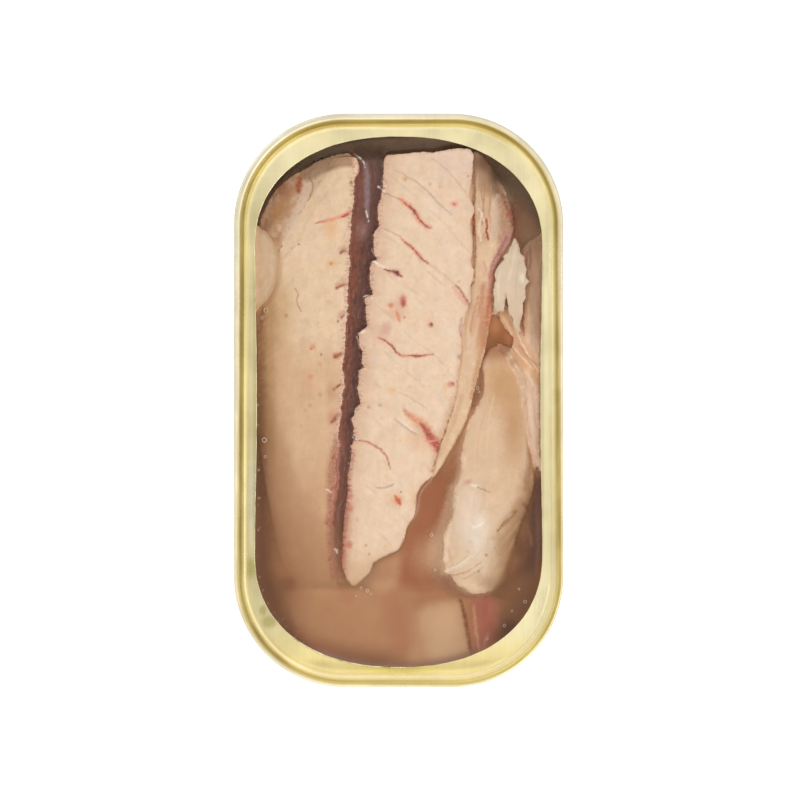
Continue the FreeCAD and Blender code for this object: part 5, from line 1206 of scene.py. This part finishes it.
def flesh_material(name, rough, bump, fibre, coat, gloss):
    """Cooked fish: laid colour, mottled and pored by noise, with fibres that run
    along the flakes, moist on top."""
    m, nt, b = new_material(name)
    L = nt.links.new
    at = node(nt, "ShaderNodeAttribute", attribute_name="tone")
    tc = node(nt, "ShaderNodeTexCoord")
    mp = node(nt, "ShaderNodeMapping")
    mp.inputs["Rotation"].default_value = (0, 0, math.radians(38))
    mp.inputs["Scale"].default_value = (1.0, fibre, 1.0)
    L(tc.outputs["Object"], mp.inputs["Vector"])
    fib = node(nt, "ShaderNodeTexNoise")
    fib.inputs["Scale"].default_value = 900
    fib.inputs["Detail"].default_value = 4
    fib.inputs["Roughness"].default_value = 0.6
    L(mp.outputs["Vector"], fib.inputs["Vector"])
    mot = node(nt, "ShaderNodeTexNoise")
    mot.inputs["Scale"].default_value = 420
    mot.inputs["Detail"].default_value = 5
    L(tc.outputs["Object"], mot.inputs["Vector"])
    ramp = node(nt, "ShaderNodeMapRange")
    ramp.inputs["From Min"].default_value = 0.3
    ramp.inputs["From Max"].default_value = 0.7
    ramp.inputs["To Min"].default_value = 0.965
    ramp.inputs["To Max"].default_value = 1.03
    L(fib.outputs["Fac"], ramp.inputs["Value"])
    ramp2 = node(nt, "ShaderNodeMapRange")
    ramp2.inputs["From Min"].default_value = 0.3
    ramp2.inputs["From Max"].default_value = 0.7
    ramp2.inputs["To Min"].default_value = 0.95
    ramp2.inputs["To Max"].default_value = 1.05
    L(mot.outputs["Fac"], ramp2.inputs["Value"])
    mul = node(nt, "ShaderNodeMath", operation="MULTIPLY")
    L(ramp.outputs["Result"], mul.inputs[0])
    L(ramp2.outputs["Result"], mul.inputs[1])
    vm = node(nt, "ShaderNodeVectorMath", operation="SCALE")
    L(at.outputs["Color"], vm.inputs[0])
    L(mul.outputs["Value"], vm.inputs["Scale"])
    L(vm.outputs["Vector"], b.inputs["Base Color"])
    rr = node(nt, "ShaderNodeMapRange")
    rr.inputs["From Min"].default_value = 0.3
    rr.inputs["From Max"].default_value = 0.7
    rr.inputs["To Min"].default_value = rough - 0.08
    rr.inputs["To Max"].default_value = rough + 0.10
    L(mot.outputs["Fac"], rr.inputs["Value"])
    L(rr.outputs["Result"], b.inputs["Roughness"])
    bp = node(nt, "ShaderNodeBump")
    bp.inputs["Strength"].default_value = 0.5
    bp.inputs["Distance"].default_value = bump
    L(fib.outputs["Fac"], bp.inputs["Height"])
    L(bp.outputs["Normal"], b.inputs["Normal"])
    b.inputs["Specular IOR Level"].default_value = gloss
    b.inputs["Coat Weight"].default_value = coat
    b.inputs["Coat Roughness"].default_value = 0.22
    b.inputs["Coat IOR"].default_value = 1.35
    return m


FLESH = flesh_material("cooked_flesh", 0.50, 0.00014, 0.30, 0.05, 0.22)
DARK = flesh_material("dark_flesh", 0.36, 0.00022, 0.45, 0.16, 0.30)
SUNK = flesh_material("sunken_flesh", 0.60, 0.00006, 0.60, 0.0, 0.15)


def juice_material():
    """Cloudy juice: its colour covers what lies deeper in it, and it is glossy."""
    m, nt, b = new_material("cloudy_juice")
    L = nt.links.new
    at = node(nt, "ShaderNodeAttribute", attribute_name="tone")
    cv = node(nt, "ShaderNodeAttribute", attribute_name="cover")
    tc = node(nt, "ShaderNodeTexCoord")
    nz = node(nt, "ShaderNodeTexNoise")
    nz.inputs["Scale"].default_value = 160
    nz.inputs["Detail"].default_value = 3
    L(tc.outputs["Object"], nz.inputs["Vector"])
    mr = node(nt, "ShaderNodeMapRange")
    mr.inputs["From Min"].default_value = 0.3
    mr.inputs["From Max"].default_value = 0.7
    mr.inputs["To Min"].default_value = 0.965
    mr.inputs["To Max"].default_value = 1.035
    L(nz.outputs["Fac"], mr.inputs["Value"])
    vm = node(nt, "ShaderNodeVectorMath", operation="SCALE")
    L(at.outputs["Color"], vm.inputs[0])
    L(mr.outputs["Result"], vm.inputs["Scale"])
    L(vm.outputs["Vector"], b.inputs["Base Color"])
    L(cv.outputs["Fac"], b.inputs["Alpha"])
    b.inputs["Roughness"].default_value = 0.26
    b.inputs["Specular IOR Level"].default_value = 0.30
    b.inputs["Coat Weight"].default_value = 0.15
    b.inputs["Coat Roughness"].default_value = 0.08
    b.inputs["Coat IOR"].default_value = 1.34
    return m


JUICE = juice_material()


def calc(nt, op, a, b=None, c=None, clamp=False):
    n = node(nt, "ShaderNodeMath", operation=op, use_clamp=clamp)
    for i, v in enumerate((a, b, c)):
        if v is None:
            continue
        if isinstance(v, (int, float)):
            n.inputs[i].default_value = v
        else:
            nt.links.new(v, n.inputs[i])
    return n.outputs["Value"]


def remap(nt, v, a, b, lo=0.0, hi=1.0):
    n = node(nt, "ShaderNodeMapRange", interpolation_type="SMOOTHSTEP")
    nt.links.new(v, n.inputs["Value"])
    for k, x in zip(("From Min", "From Max", "To Min", "To Max"), (a, b, lo, hi)):
        n.inputs[k].default_value = x
    return n.outputs["Result"]


def blend(nt, fac, a, b):
    n = node(nt, "ShaderNodeMix", data_type="RGBA")
    nt.links.new(fac, n.inputs[0])
    for i, v in ((6, a), (7, b)):
        if isinstance(v, tuple):
            n.inputs[i].default_value = (*v, 1)
        else:
            nt.links.new(v, n.inputs[i])
    return n.outputs[2]


def spot(nt, obj, x, y, rx, ry):
    """A soft oval mask on the tin's plan, in mm."""
    s = node(nt, "ShaderNodeSeparateXYZ")
    nt.links.new(obj, s.inputs[0])
    u = calc(nt, "MULTIPLY", calc(nt, "SUBTRACT", s.outputs[0], x * MM), 1 / (rx * MM))
    v = calc(nt, "MULTIPLY", calc(nt, "SUBTRACT", s.outputs[1], y * MM), 1 / (ry * MM))
    d = calc(nt, "SQRT", calc(nt, "ADD", calc(nt, "MULTIPLY", u, u), calc(nt, "MULTIPLY", v, v)))
    return remap(nt, d, 0.3, 1.0, 1.0, 0.0)


def ramp(nt, fac, stops, span, gain=1.0):
    r = node(nt, "ShaderNodeValToRGB")
    el = r.color_ramp.elements
    while len(el) > 1:
        el.remove(el[-1])
    for i, (p, rgb) in enumerate(stops):
        e = el[0] if i == 0 else el.new(p / span)
        e.position = p / span
        e.color = (*(lin(rgb) * gain), 1)
    nt.links.new(fac, r.inputs["Fac"])
    return r.outputs["Color"]


def lacquer_base(name):
    """Gold lacquer over rolled aluminium: slow waves in the sheet, fine rolling
    lines, faint smudges in its gloss."""
    m, nt, b = new_material(name)
    L = nt.links.new
    tc = node(nt, "ShaderNodeTexCoord")
    obj = tc.outputs["Object"]
    big = node(nt, "ShaderNodeTexNoise")
    big.inputs["Scale"].default_value = 130
    big.inputs["Detail"].default_value = 3
    L(obj, big.inputs["Vector"])
    mp = node(nt, "ShaderNodeMapping")
    mp.inputs["Scale"].default_value = (1.0, 0.03, 1.0)
    L(obj, mp.inputs["Vector"])
    fine = node(nt, "ShaderNodeTexNoise")
    fine.inputs["Scale"].default_value = 2400
    fine.inputs["Detail"].default_value = 2
    L(mp.outputs["Vector"], fine.inputs["Vector"])
    b.inputs["Metallic"].default_value = 1.0
    L(remap(nt, big.outputs["Fac"], 0.3, 0.7, 0.24, 0.40), b.inputs["Roughness"])
    h = calc(nt, "MULTIPLY_ADD", big.outputs["Fac"], 5.0, fine.outputs["Fac"])
    bp = node(nt, "ShaderNodeBump")
    bp.inputs["Strength"].default_value = 0.22
    bp.inputs["Distance"].default_value = 0.00006
    L(h, bp.inputs["Height"])
    L(bp.outputs["Normal"], b.inputs["Normal"])
    return m, nt, b, obj, big.outputs["Fac"], fine.outputs["Fac"]


def ring_material():
    """The end's lacquer, with light and shade painted on: a cream painted highlight
    on the seam, deep gold painted shade in the groove inside it, pale green-gold on
    the panel. Laid out by the distance in from the tin's edge."""
    m, nt, b, obj, big, fine = lacquer_base("gold_lacquer_end")
    L = nt.links.new
    R = 20.3
    s = node(nt, "ShaderNodeSeparateXYZ")
    L(obj, s.inputs[0])
    qx = calc(nt, "SUBTRACT", calc(nt, "ABSOLUTE", s.outputs[0]), (HALF_X - R) * MM)
    qy = calc(nt, "SUBTRACT", calc(nt, "ABSOLUTE", s.outputs[1]), (HALF_Y - R) * MM)
    mx, my = calc(nt, "MAXIMUM", qx, 0.0), calc(nt, "MAXIMUM", qy, 0.0)
    far = calc(nt, "SQRT", calc(nt, "ADD", calc(nt, "MULTIPLY", mx, mx), calc(nt, "MULTIPLY", my, my)))
    flat = calc(nt, "MINIMUM", calc(nt, "MAXIMUM", qx, qy), 0.0)
    d = calc(nt, "MULTIPLY", calc(nt, "SUBTRACT", R * MM, calc(nt, "ADD", far, flat)), 1 / MM)
    u01 = remap(nt, s.outputs[0], -HALF_X * MM, HALF_X * MM)
    v01 = remap(nt, s.outputs[1], -HALF_Y * MM, HALF_Y * MM)
    # the painted groove shade shows a little nearer the edge towards the right and the near end
    shift = calc(nt, "ADD", calc(nt, "MULTIPLY_ADD", u01, 0.34, -0.10), calc(nt, "MULTIPLY_ADD", v01, -0.74, 0.40))
    fac = calc(nt, "MULTIPLY", calc(nt, "ADD", calc(nt, "MULTIPLY_ADD", big, 0.08, d), shift), 0.2)
    light = ramp(nt, fac, RING_LIT, 5.0, GAIN)
    dark = ramp(nt, fac, RING_SHADED, 5.0, GAIN)
    # where noise and four spots at the sides say so, the lacquer takes the shaded ramp: painted shade
    n2 = node(nt, "ShaderNodeTexNoise")
    n2.inputs["Scale"].default_value = 70
    n2.inputs["Detail"].default_value = 2
    L(obj, n2.inputs["Vector"])
    mix = remap(nt, n2.outputs["Fac"], 0.40, 0.60)
    near_end = remap(nt, s.outputs[1], -0.036, -0.047)
    mix = calc(nt, "MULTIPLY", mix, calc(nt, "SUBTRACT", 1.0, near_end))
    for args in ((-29.38, 18.39, 3.0, 9.0), (-29.38, -7.23, 3.0, 7.0), (-24.99, -46.56, 7.0, 6.0), (28.80, 0.46, 2.0, 2.6)):
        mix = calc(nt, "MAXIMUM", mix, spot(nt, obj, *args))
    c = blend(nt, mix, light, dark)
    on_panel = remap(nt, d, 2.2, 2.6)
    # painted light round the tin: dull on the left, bright at the far end, yellow at the near end;
    # painted shade in the groove at the far end, a painted highlight on its inner ridge on the left,
    # and a painted bright patch at the far right corner
    tint = blend(nt, u01, (0.87, 0.87, 0.84), (1.06, 1.09, 1.19))
    tint = blend(nt, remap(nt, s.outputs[1], 0.030, 0.045), tint, (1.15, 1.18, 1.29))
    groove = calc(nt, "MULTIPLY", remap(nt, d, 0.95, 1.3), remap(nt, d, 2.7, 2.2))
    tint = blend(nt, calc(nt, "MULTIPLY", groove, remap(nt, s.outputs[1], 0.030, 0.045)), tint, (0.97, 0.92, 0.72))
    ridge = calc(nt, "MULTIPLY", remap(nt, d, 1.8, 2.1), remap(nt, d, 2.7, 2.35))
    tint = blend(nt, calc(nt, "MULTIPLY", ridge, remap(nt, u01, 0.12, 0.03)), tint, (1.04, 1.07, 1.06))
    near_end = blend(nt, remap(nt, d, 2.2, 2.7), (1.12, 1.12, 1.16), (1.08, 1.03, 0.80))
    tint = blend(nt, remap(nt, s.outputs[1], -0.041, -0.048), tint, near_end)
    tint = blend(nt, calc(nt, "MULTIPLY", spot(nt, obj, 24.95, 41.80, 9.0, 11.0), 0.8), tint, (1.22, 1.24, 1.42))
    # on the seam the painted light runs the other way: brighter on the left, paler and bluer at the near end
    tint_s = blend(nt, u01, (1.05, 1.06, 1.08), (0.92, 0.92, 0.94))
    tint_s = blend(nt, remap(nt, s.outputs[1], 0.030, 0.045), tint_s, (0.98, 1.00, 1.04))
    tint_s = blend(nt, remap(nt, s.outputs[1], -0.041, -0.048), tint_s, (1.14, 1.20, 1.38))
    tint = blend(nt, remap(nt, d, 0.7, 1.1), tint_s, tint)
    streak = remap(nt, fine, 0.3, 0.7, 0.985, 1.015)
    n3 = node(nt, "ShaderNodeTexNoise")
    n3.inputs["Scale"].default_value = 210
    n3.inputs["Detail"].default_value = 4
    L(obj, n3.inputs["Vector"])
    cloud = remap(nt, n3.outputs["Fac"], 0.3, 0.7, 0.96, 1.04)
    vm = node(nt, "ShaderNodeVectorMath", operation="SCALE")
    L(c, vm.inputs[0])
    L(calc(nt, "MULTIPLY", streak, cloud), vm.inputs["Scale"])
    vt = node(nt, "ShaderNodeVectorMath", operation="MULTIPLY")
    L(vm.outputs["Vector"], vt.inputs[0])
    L(tint, vt.inputs[1])
    c = vt.outputs["Vector"]
    olive = tuple(lin((176, 164, 92)) * GAIN)
    for args in ((-27.19, -30.64, 1.6, 2.6), (-23.71, -40.52, 2.0, 1.7), (-24.81, -38.33, 1.0, 1.4)):
        c = blend(nt, calc(nt, "MULTIPLY", calc(nt, "MULTIPLY", spot(nt, obj, *args), on_panel), 0.7), c, olive)
    c = blend(nt, calc(nt, "MULTIPLY", calc(nt, "MULTIPLY", spot(nt, obj, -0.48, -49.30, 11.0, 1.5), on_panel), 0.8), c, tuple(lin((228, 208, 112)) * GAIN))
    c = blend(nt, calc(nt, "MULTIPLY", calc(nt, "MULTIPLY", spot(nt, obj, -26.64, -18.20, 1.6, 12.0), on_panel), 0.5), c, tuple(lin((222, 214, 186)) * GAIN))
    # browner spots in the groove at the near left corner
    groove_brown = tuple(lin((150, 112, 62)) * GAIN)
    in_groove = calc(nt, "MULTIPLY", remap(nt, d, 0.75, 1.05), remap(nt, d, 1.75, 1.45))
    for args in ((-26.82, -43.82, 3.2, 4.0), (-23.53, -48.39, 4.4, 3.2), (-18.04, -51.87, 4.0, 2.0)):
        c = blend(nt, calc(nt, "MULTIPLY", calc(nt, "MULTIPLY", spot(nt, obj, *args), in_groove), 0.55), c, groove_brown)
    # painted shadow of the torn edge: the panel darker just beside the opening along the sides and at the near end
    ax = calc(nt, "ABSOLUTE", s.outputs[0])
    along = remap(nt, calc(nt, "ABSOLUTE", s.outputs[1]), 0.030, 0.024)
    rim = calc(nt, "MULTIPLY", along, remap(nt, ax, 0.02685, 0.02635))
    rim_s = calc(nt, "MULTIPLY", remap(nt, s.outputs[1], -0.047, -0.0485), remap(nt, d, 2.9, 3.6))
    vr = node(nt, "ShaderNodeVectorMath", operation="MULTIPLY")
    L(c, vr.inputs[0])
    L(blend(nt, calc(nt, "MAXIMUM", rim, rim_s), (1.0, 1.0, 1.0), (0.80, 0.78, 0.76)), vr.inputs[1])
    c = vr.outputs["Vector"]
    L(c, b.inputs["Base Color"])
    # thick lacquer dulls the groove; the seam and the panel gleam more
    dull = calc(nt, "MULTIPLY", remap(nt, d, 0.55, 1.0), remap(nt, d, 3.0, 2.6))
    L(calc(nt, "MULTIPLY_ADD", dull, -0.42, 0.62), b.inputs["Metallic"])
    return m


# The lacquer's colour by the distance in from the tin's edge, mm, with light and shade painted in:
# a painted highlight on the seam's curve, painted shade in the groove, a painted bright line inside it.
# RING_SHADED is the same colours in shade.
RING_LIT = [(0.0, (228, 219, 192)), (0.4, (236, 225, 192)), (0.65, (240, 225, 182)), (0.85, (222, 203, 152)),
              (1.05, (198, 176, 114)), (1.25, (186, 163, 86)), (1.45, (189, 167, 88)), (1.65, (213, 192, 116)),
              (1.9, (244, 224, 156)), (2.15, (254, 240, 180)), (2.4, (250, 234, 178)), (2.65, (235, 220, 168)),
              (2.9, (229, 214, 164)), (4.2, (227, 213, 163))]
RING_SHADED = [(0.0, (220, 210, 180)), (0.4, (230, 218, 184)), (0.65, (232, 215, 170)), (0.85, (210, 190, 138)),
             (1.05, (182, 160, 98)), (1.25, (164, 141, 72)), (1.45, (168, 145, 67)), (1.65, (195, 173, 95)),
             (1.9, (230, 210, 142)), (2.15, (246, 230, 168)), (2.4, (242, 226, 168)), (2.65, (226, 210, 158)),
             (2.9, (220, 204, 152)), (4.2, (219, 204, 153))]


def can_material():
    m, nt, b, obj, big, fine = lacquer_base("gold_lacquer_can")
    c = ramp(nt, big, [(0.30, (190, 168, 104)), (0.52, (200, 180, 120)), (0.72, (208, 190, 132))], 1.0, 1.0)
    vm = node(nt, "ShaderNodeVectorMath", operation="SCALE")
    nt.links.new(c, vm.inputs[0])
    nt.links.new(remap(nt, fine, 0.3, 0.7, 0.96, 1.03), vm.inputs["Scale"])
    nt.links.new(vm.outputs["Vector"], b.inputs["Base Color"])
    return m


def lip_material():
    m, nt, b, obj, big, fine = lacquer_base("torn_lip")
    n2 = node(nt, "ShaderNodeTexNoise")
    n2.inputs["Scale"].default_value = 420
    n2.inputs["Detail"].default_value = 3
    nt.links.new(obj, n2.inputs["Vector"])
    c = ramp(nt, n2.outputs["Fac"], [(0.34, (176, 164, 116)), (0.50, (226, 214, 170)), (0.66, (250, 242, 206))], 1.0, 0.95)
    nt.links.new(c, b.inputs["Base Color"])
    return m


GAIN = 0.86
LACQUER = ring_material()
LACQUER_CAN = can_material()
LIP = lip_material()
for nm, mat in (("end_ring", LACQUER), ("can_body", LACQUER_CAN)):
    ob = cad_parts[nm]
    for s in range(len(ob.data.materials)):
        ob.data.materials[s] = mat
    if not len(ob.data.materials):
        ob.data.materials.append(mat)


def tube(name, centre, radius, sides=8, wobble=None):
    """A closed tube round a closed line of (x, y, z), in mm."""
    c = np.array(centre)
    tang = np.roll(c, -1, 0) - np.roll(c, 1, 0)
    tang /= np.linalg.norm(tang, axis=1)[:, None]
    out = np.cross(tang, [0, 0, 1.0])
    verts, faces = [], []
    n = len(c)
    for k in range(sides):
        a = 2 * math.pi * k / sides
        verts.append(c + np.reshape(radius, (-1, 1)) * (math.cos(a) * out + math.sin(a) * np.array([0, 0, 1.0])))
    v = np.stack(verts, 1).reshape(-1, 3) * MM
    for i in range(n):
        for k in range(sides):
            a, b = i * sides + k, i * sides + (k + 1) % sides
            j = (i + 1) % n
            faces.append([a, b, j * sides + (k + 1) % sides, j * sides + k])
    return mesh_object(name, v.tolist(), faces)


# the torn edge of the panel: a thin burr that wavers a little
line = curve(opening_line()[::2], True, 0.35)
wave = 0.035 * fbm(line[:, 0], line[:, 1], 2.2, 940, 3)
nrm = np.roll(line, -1, 0) - np.roll(line, 1, 0)
nrm = np.stack([nrm[:, 1], -nrm[:, 0]], 1) / np.hypot(nrm[:, 0], nrm[:, 1])[:, None]
line = line + nrm * wave[:, None]
# it is turned up and stands broader along the near end's left part
curl = smooth(-20.60, -18.04, line[:, 0]) * smooth(2.45, -1.94, line[:, 0]) * (line[:, 1] < 0)
curl = 0.085 + 0.10 * curl * (0.8 + 0.4 * fbm(line[:, 0], line[:, 1], 1.4, 946, 2))
lip = tube("torn_lip", np.column_stack([line, np.full(len(line), TOP - 3.40) + wave + 0.4 * (curl - 0.085)]), curl)
lip.data.materials.append(LIP)
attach(lip, "root")
# ---------------------------------------------------------- make the pieces
# no piece reaches out through the can's wall
inset = 1.25
rx, ry, rr = HALF_X - inset, HALF_Y - inset, 20.3 - inset
qx, qy = np.abs(X) - (rx - rr), np.abs(Y) - (ry - rr)
can_d = rr - np.hypot(np.maximum(qx, 0), np.maximum(qy, 0))
can_d = np.where((qx < 0) | (qy < 0), np.minimum(rx - np.abs(X), ry - np.abs(Y)), can_d)
for name in ["loin_left", "loin_right", "dark_muscle", "belly_flap", "wall_strip", "white_flake", "thick_chunk",
             "upper_flesh", "side_sliver", "sunk_block", "sunk_red"]:
    reach = np.minimum(fields[name] + 3.0 * sinking[name] + 1.2 * tuck[name], can_d - 0.45)
    mask = reach > 0
    shine = 0.010 if name == "dark_muscle" else 0.004
    ob = grid_solid(name + "_looks", mask, np.maximum(heights[name], 14.0), 0.6, 0.86, laid(tones[name], shine), field=reach)
    ob.data.materials.append(DARK if name == "dark_muscle" else SUNK if name.startswith("sunk") else FLESH)
    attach(ob, "root")
    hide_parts(name)

# juice: level, drawn up a little where it wets the fish
dry = (depth < 0.0).astype(float)
creep = blur(dry, 0.45)
stand = blur(dry * -np.minimum(depth, 0), 0.45) / np.maximum(creep, 1e-3)
# painted light: the juice lighter in narrow gaps between pieces, against the shade that falls there
murk.scale(1 + 0.75 * smooth(0.30, 0.85, creep) * smooth(0.3, 1.2, stand))
juice_z = LEVEL + np.clip(stand - 0.75, 0, 0.8) * smooth(0.02, 0.50, creep) + 0.02 * fbm(X, Y, 6.0, 950, 2)
jo = grid_solid("juice_looks", can_d > 0.05, juice_z, 0.6, 0.90, laid(murk, 0.018), {"cover": cover}, every=2)
jo.data.materials.append(JUICE)
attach(jo, "root")
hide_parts("juice")

# bubbles where the juice meets the wall and the fish: small pale rings of film, their paleness a painted reflection
# of the bubbles' rims, each with a small pale dome beside it as a painted glint
bv, bf = [], []
for (bx, by, br) in BUBBLES:
    for part, (rad, tub) in enumerate(((br * 0.82, br * 0.20), (0.0, br * 0.20))):
        nseg, sides = (18, 8) if part == 0 else (10, 6)
        base = len(bv)
        zc = LEVEL + 0.05 + 0.25 * float(np.interp(by, [-60, 60], [0, 0]))
        j = int(np.clip(np.searchsorted(gy, by), 0, len(gy) - 1))
        i = int(np.clip(np.searchsorted(gx, bx), 0, len(gx) - 1))
        zc = max(LEVEL, float(fish_top[j, i])) + 0.06
        if part == 0:
            for a in range(nseg):
                ca, sa = math.cos(2 * math.pi * a / nseg), math.sin(2 * math.pi * a / nseg)
                for k in range(sides):
                    q = 2 * math.pi * k / sides
                    rr_ = rad + tub * math.cos(q)
                    bv.append(((bx + rr_ * ca) * MM, (by + rr_ * sa) * MM, (zc + tub * math.sin(q)) * MM))
            for a in range(nseg):
                for k in range(sides):
                    n0, n1 = base + a * sides + k, base + a * sides + (k + 1) % sides
                    a2 = (a + 1) % nseg
                    bf.append([n0, n1, base + a2 * sides + (k + 1) % sides, base + a2 * sides + k])
        else:
            gxo, gyo = bx + br * 0.34, by + br * 0.30
            bv.append((gxo * MM, gyo * MM, (zc + tub) * MM))
            for k in range(6):
                q = 2 * math.pi * k / 6
                bv.append(((gxo + tub * math.cos(q)) * MM, (gyo + tub * math.sin(q)) * MM, zc * MM))
            bv.append((gxo * MM, gyo * MM, (zc - tub) * MM))
            for k in range(6):
                bf.append([base, base + 1 + k, base + 1 + (k + 1) % 6])
                bf.append([base + 7, base + 1 + (k + 1) % 6, base + 1 + k])
bub = mesh_object("bubbles", bv, bf)
bm, nt, b = new_material("bubble_film_and_glint")
bn = node(nt, "ShaderNodeTexNoise")
bn.inputs["Scale"].default_value = 1500
nt.links.new(ramp(nt, bn.outputs["Fac"], [(0.35, (226, 192, 156)), (0.65, (250, 230, 204))], 1.0, 0.9), b.inputs["Base Color"])
b.inputs["Roughness"].default_value = 0.25
b.inputs["Coat Weight"].default_value = 0.35
b.inputs["Coat Roughness"].default_value = 0.05
b.inputs["Alpha"].default_value = 0.6
bub.data.materials.append(bm)
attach(bub, "root")

# ------------------------------------------------------ floor, light, camera
bpy.ops.mesh.primitive_plane_add(size=3.0, location=(0, 0, -0.00005))
floor = bpy.context.object
floor.name = "floor"
fm, nt, b = new_material("pale_floor")
b.inputs["Base Color"].default_value = (0.86, 0.86, 0.86, 1)
b.inputs["Roughness"].default_value = 0.9
b.inputs["Emission Color"].default_value = (1, 1, 1, 1)
b.inputs["Emission Strength"].default_value = 0.45
floor.data.materials.append(fm)

world = bpy.data.worlds.new("studio")
bpy.context.scene.world = world
world.use_nodes = True
bg = world.node_tree.nodes["Background"]
bg.inputs["Color"].default_value = (1, 1, 1, 1)
bg.inputs["Strength"].default_value = 0.80


def area(name, size, at, look, power):
    l = bpy.data.lights.new(name, "AREA")
    l.shape = "SQUARE"
    l.size = size
    l.energy = power
    o = bpy.data.objects.new(name, l)
    bpy.context.scene.collection.objects.link(o)
    o.location = at
    from mathutils import Vector
    o.rotation_euler = (Vector(look) - Vector(at)).to_track_quat("-Z", "Y").to_euler()
    o.visible_camera = False
    return o


area("key", 0.5, (0.35, -0.25, 0.75), (0, 0, 0), 3.2)
area("fill", 0.7, (-0.4, 0.45, 0.8), (0, 0, 0), 2.2)

cam = bpy.data.cameras.new("camera")
cam.type = "ORTHO"
cam.ortho_scale = 800 / 5.466 * MM
cam.clip_end = 10
co = bpy.data.objects.new("camera", cam)
co.location = (0.000256, 0.00009, 0.5)
bpy.context.scene.collection.objects.link(co)
bpy.context.scene.camera = co
bpy.context.scene.view_settings.view_transform = "Standard"
bpy.context.scene.view_settings.look = "None"
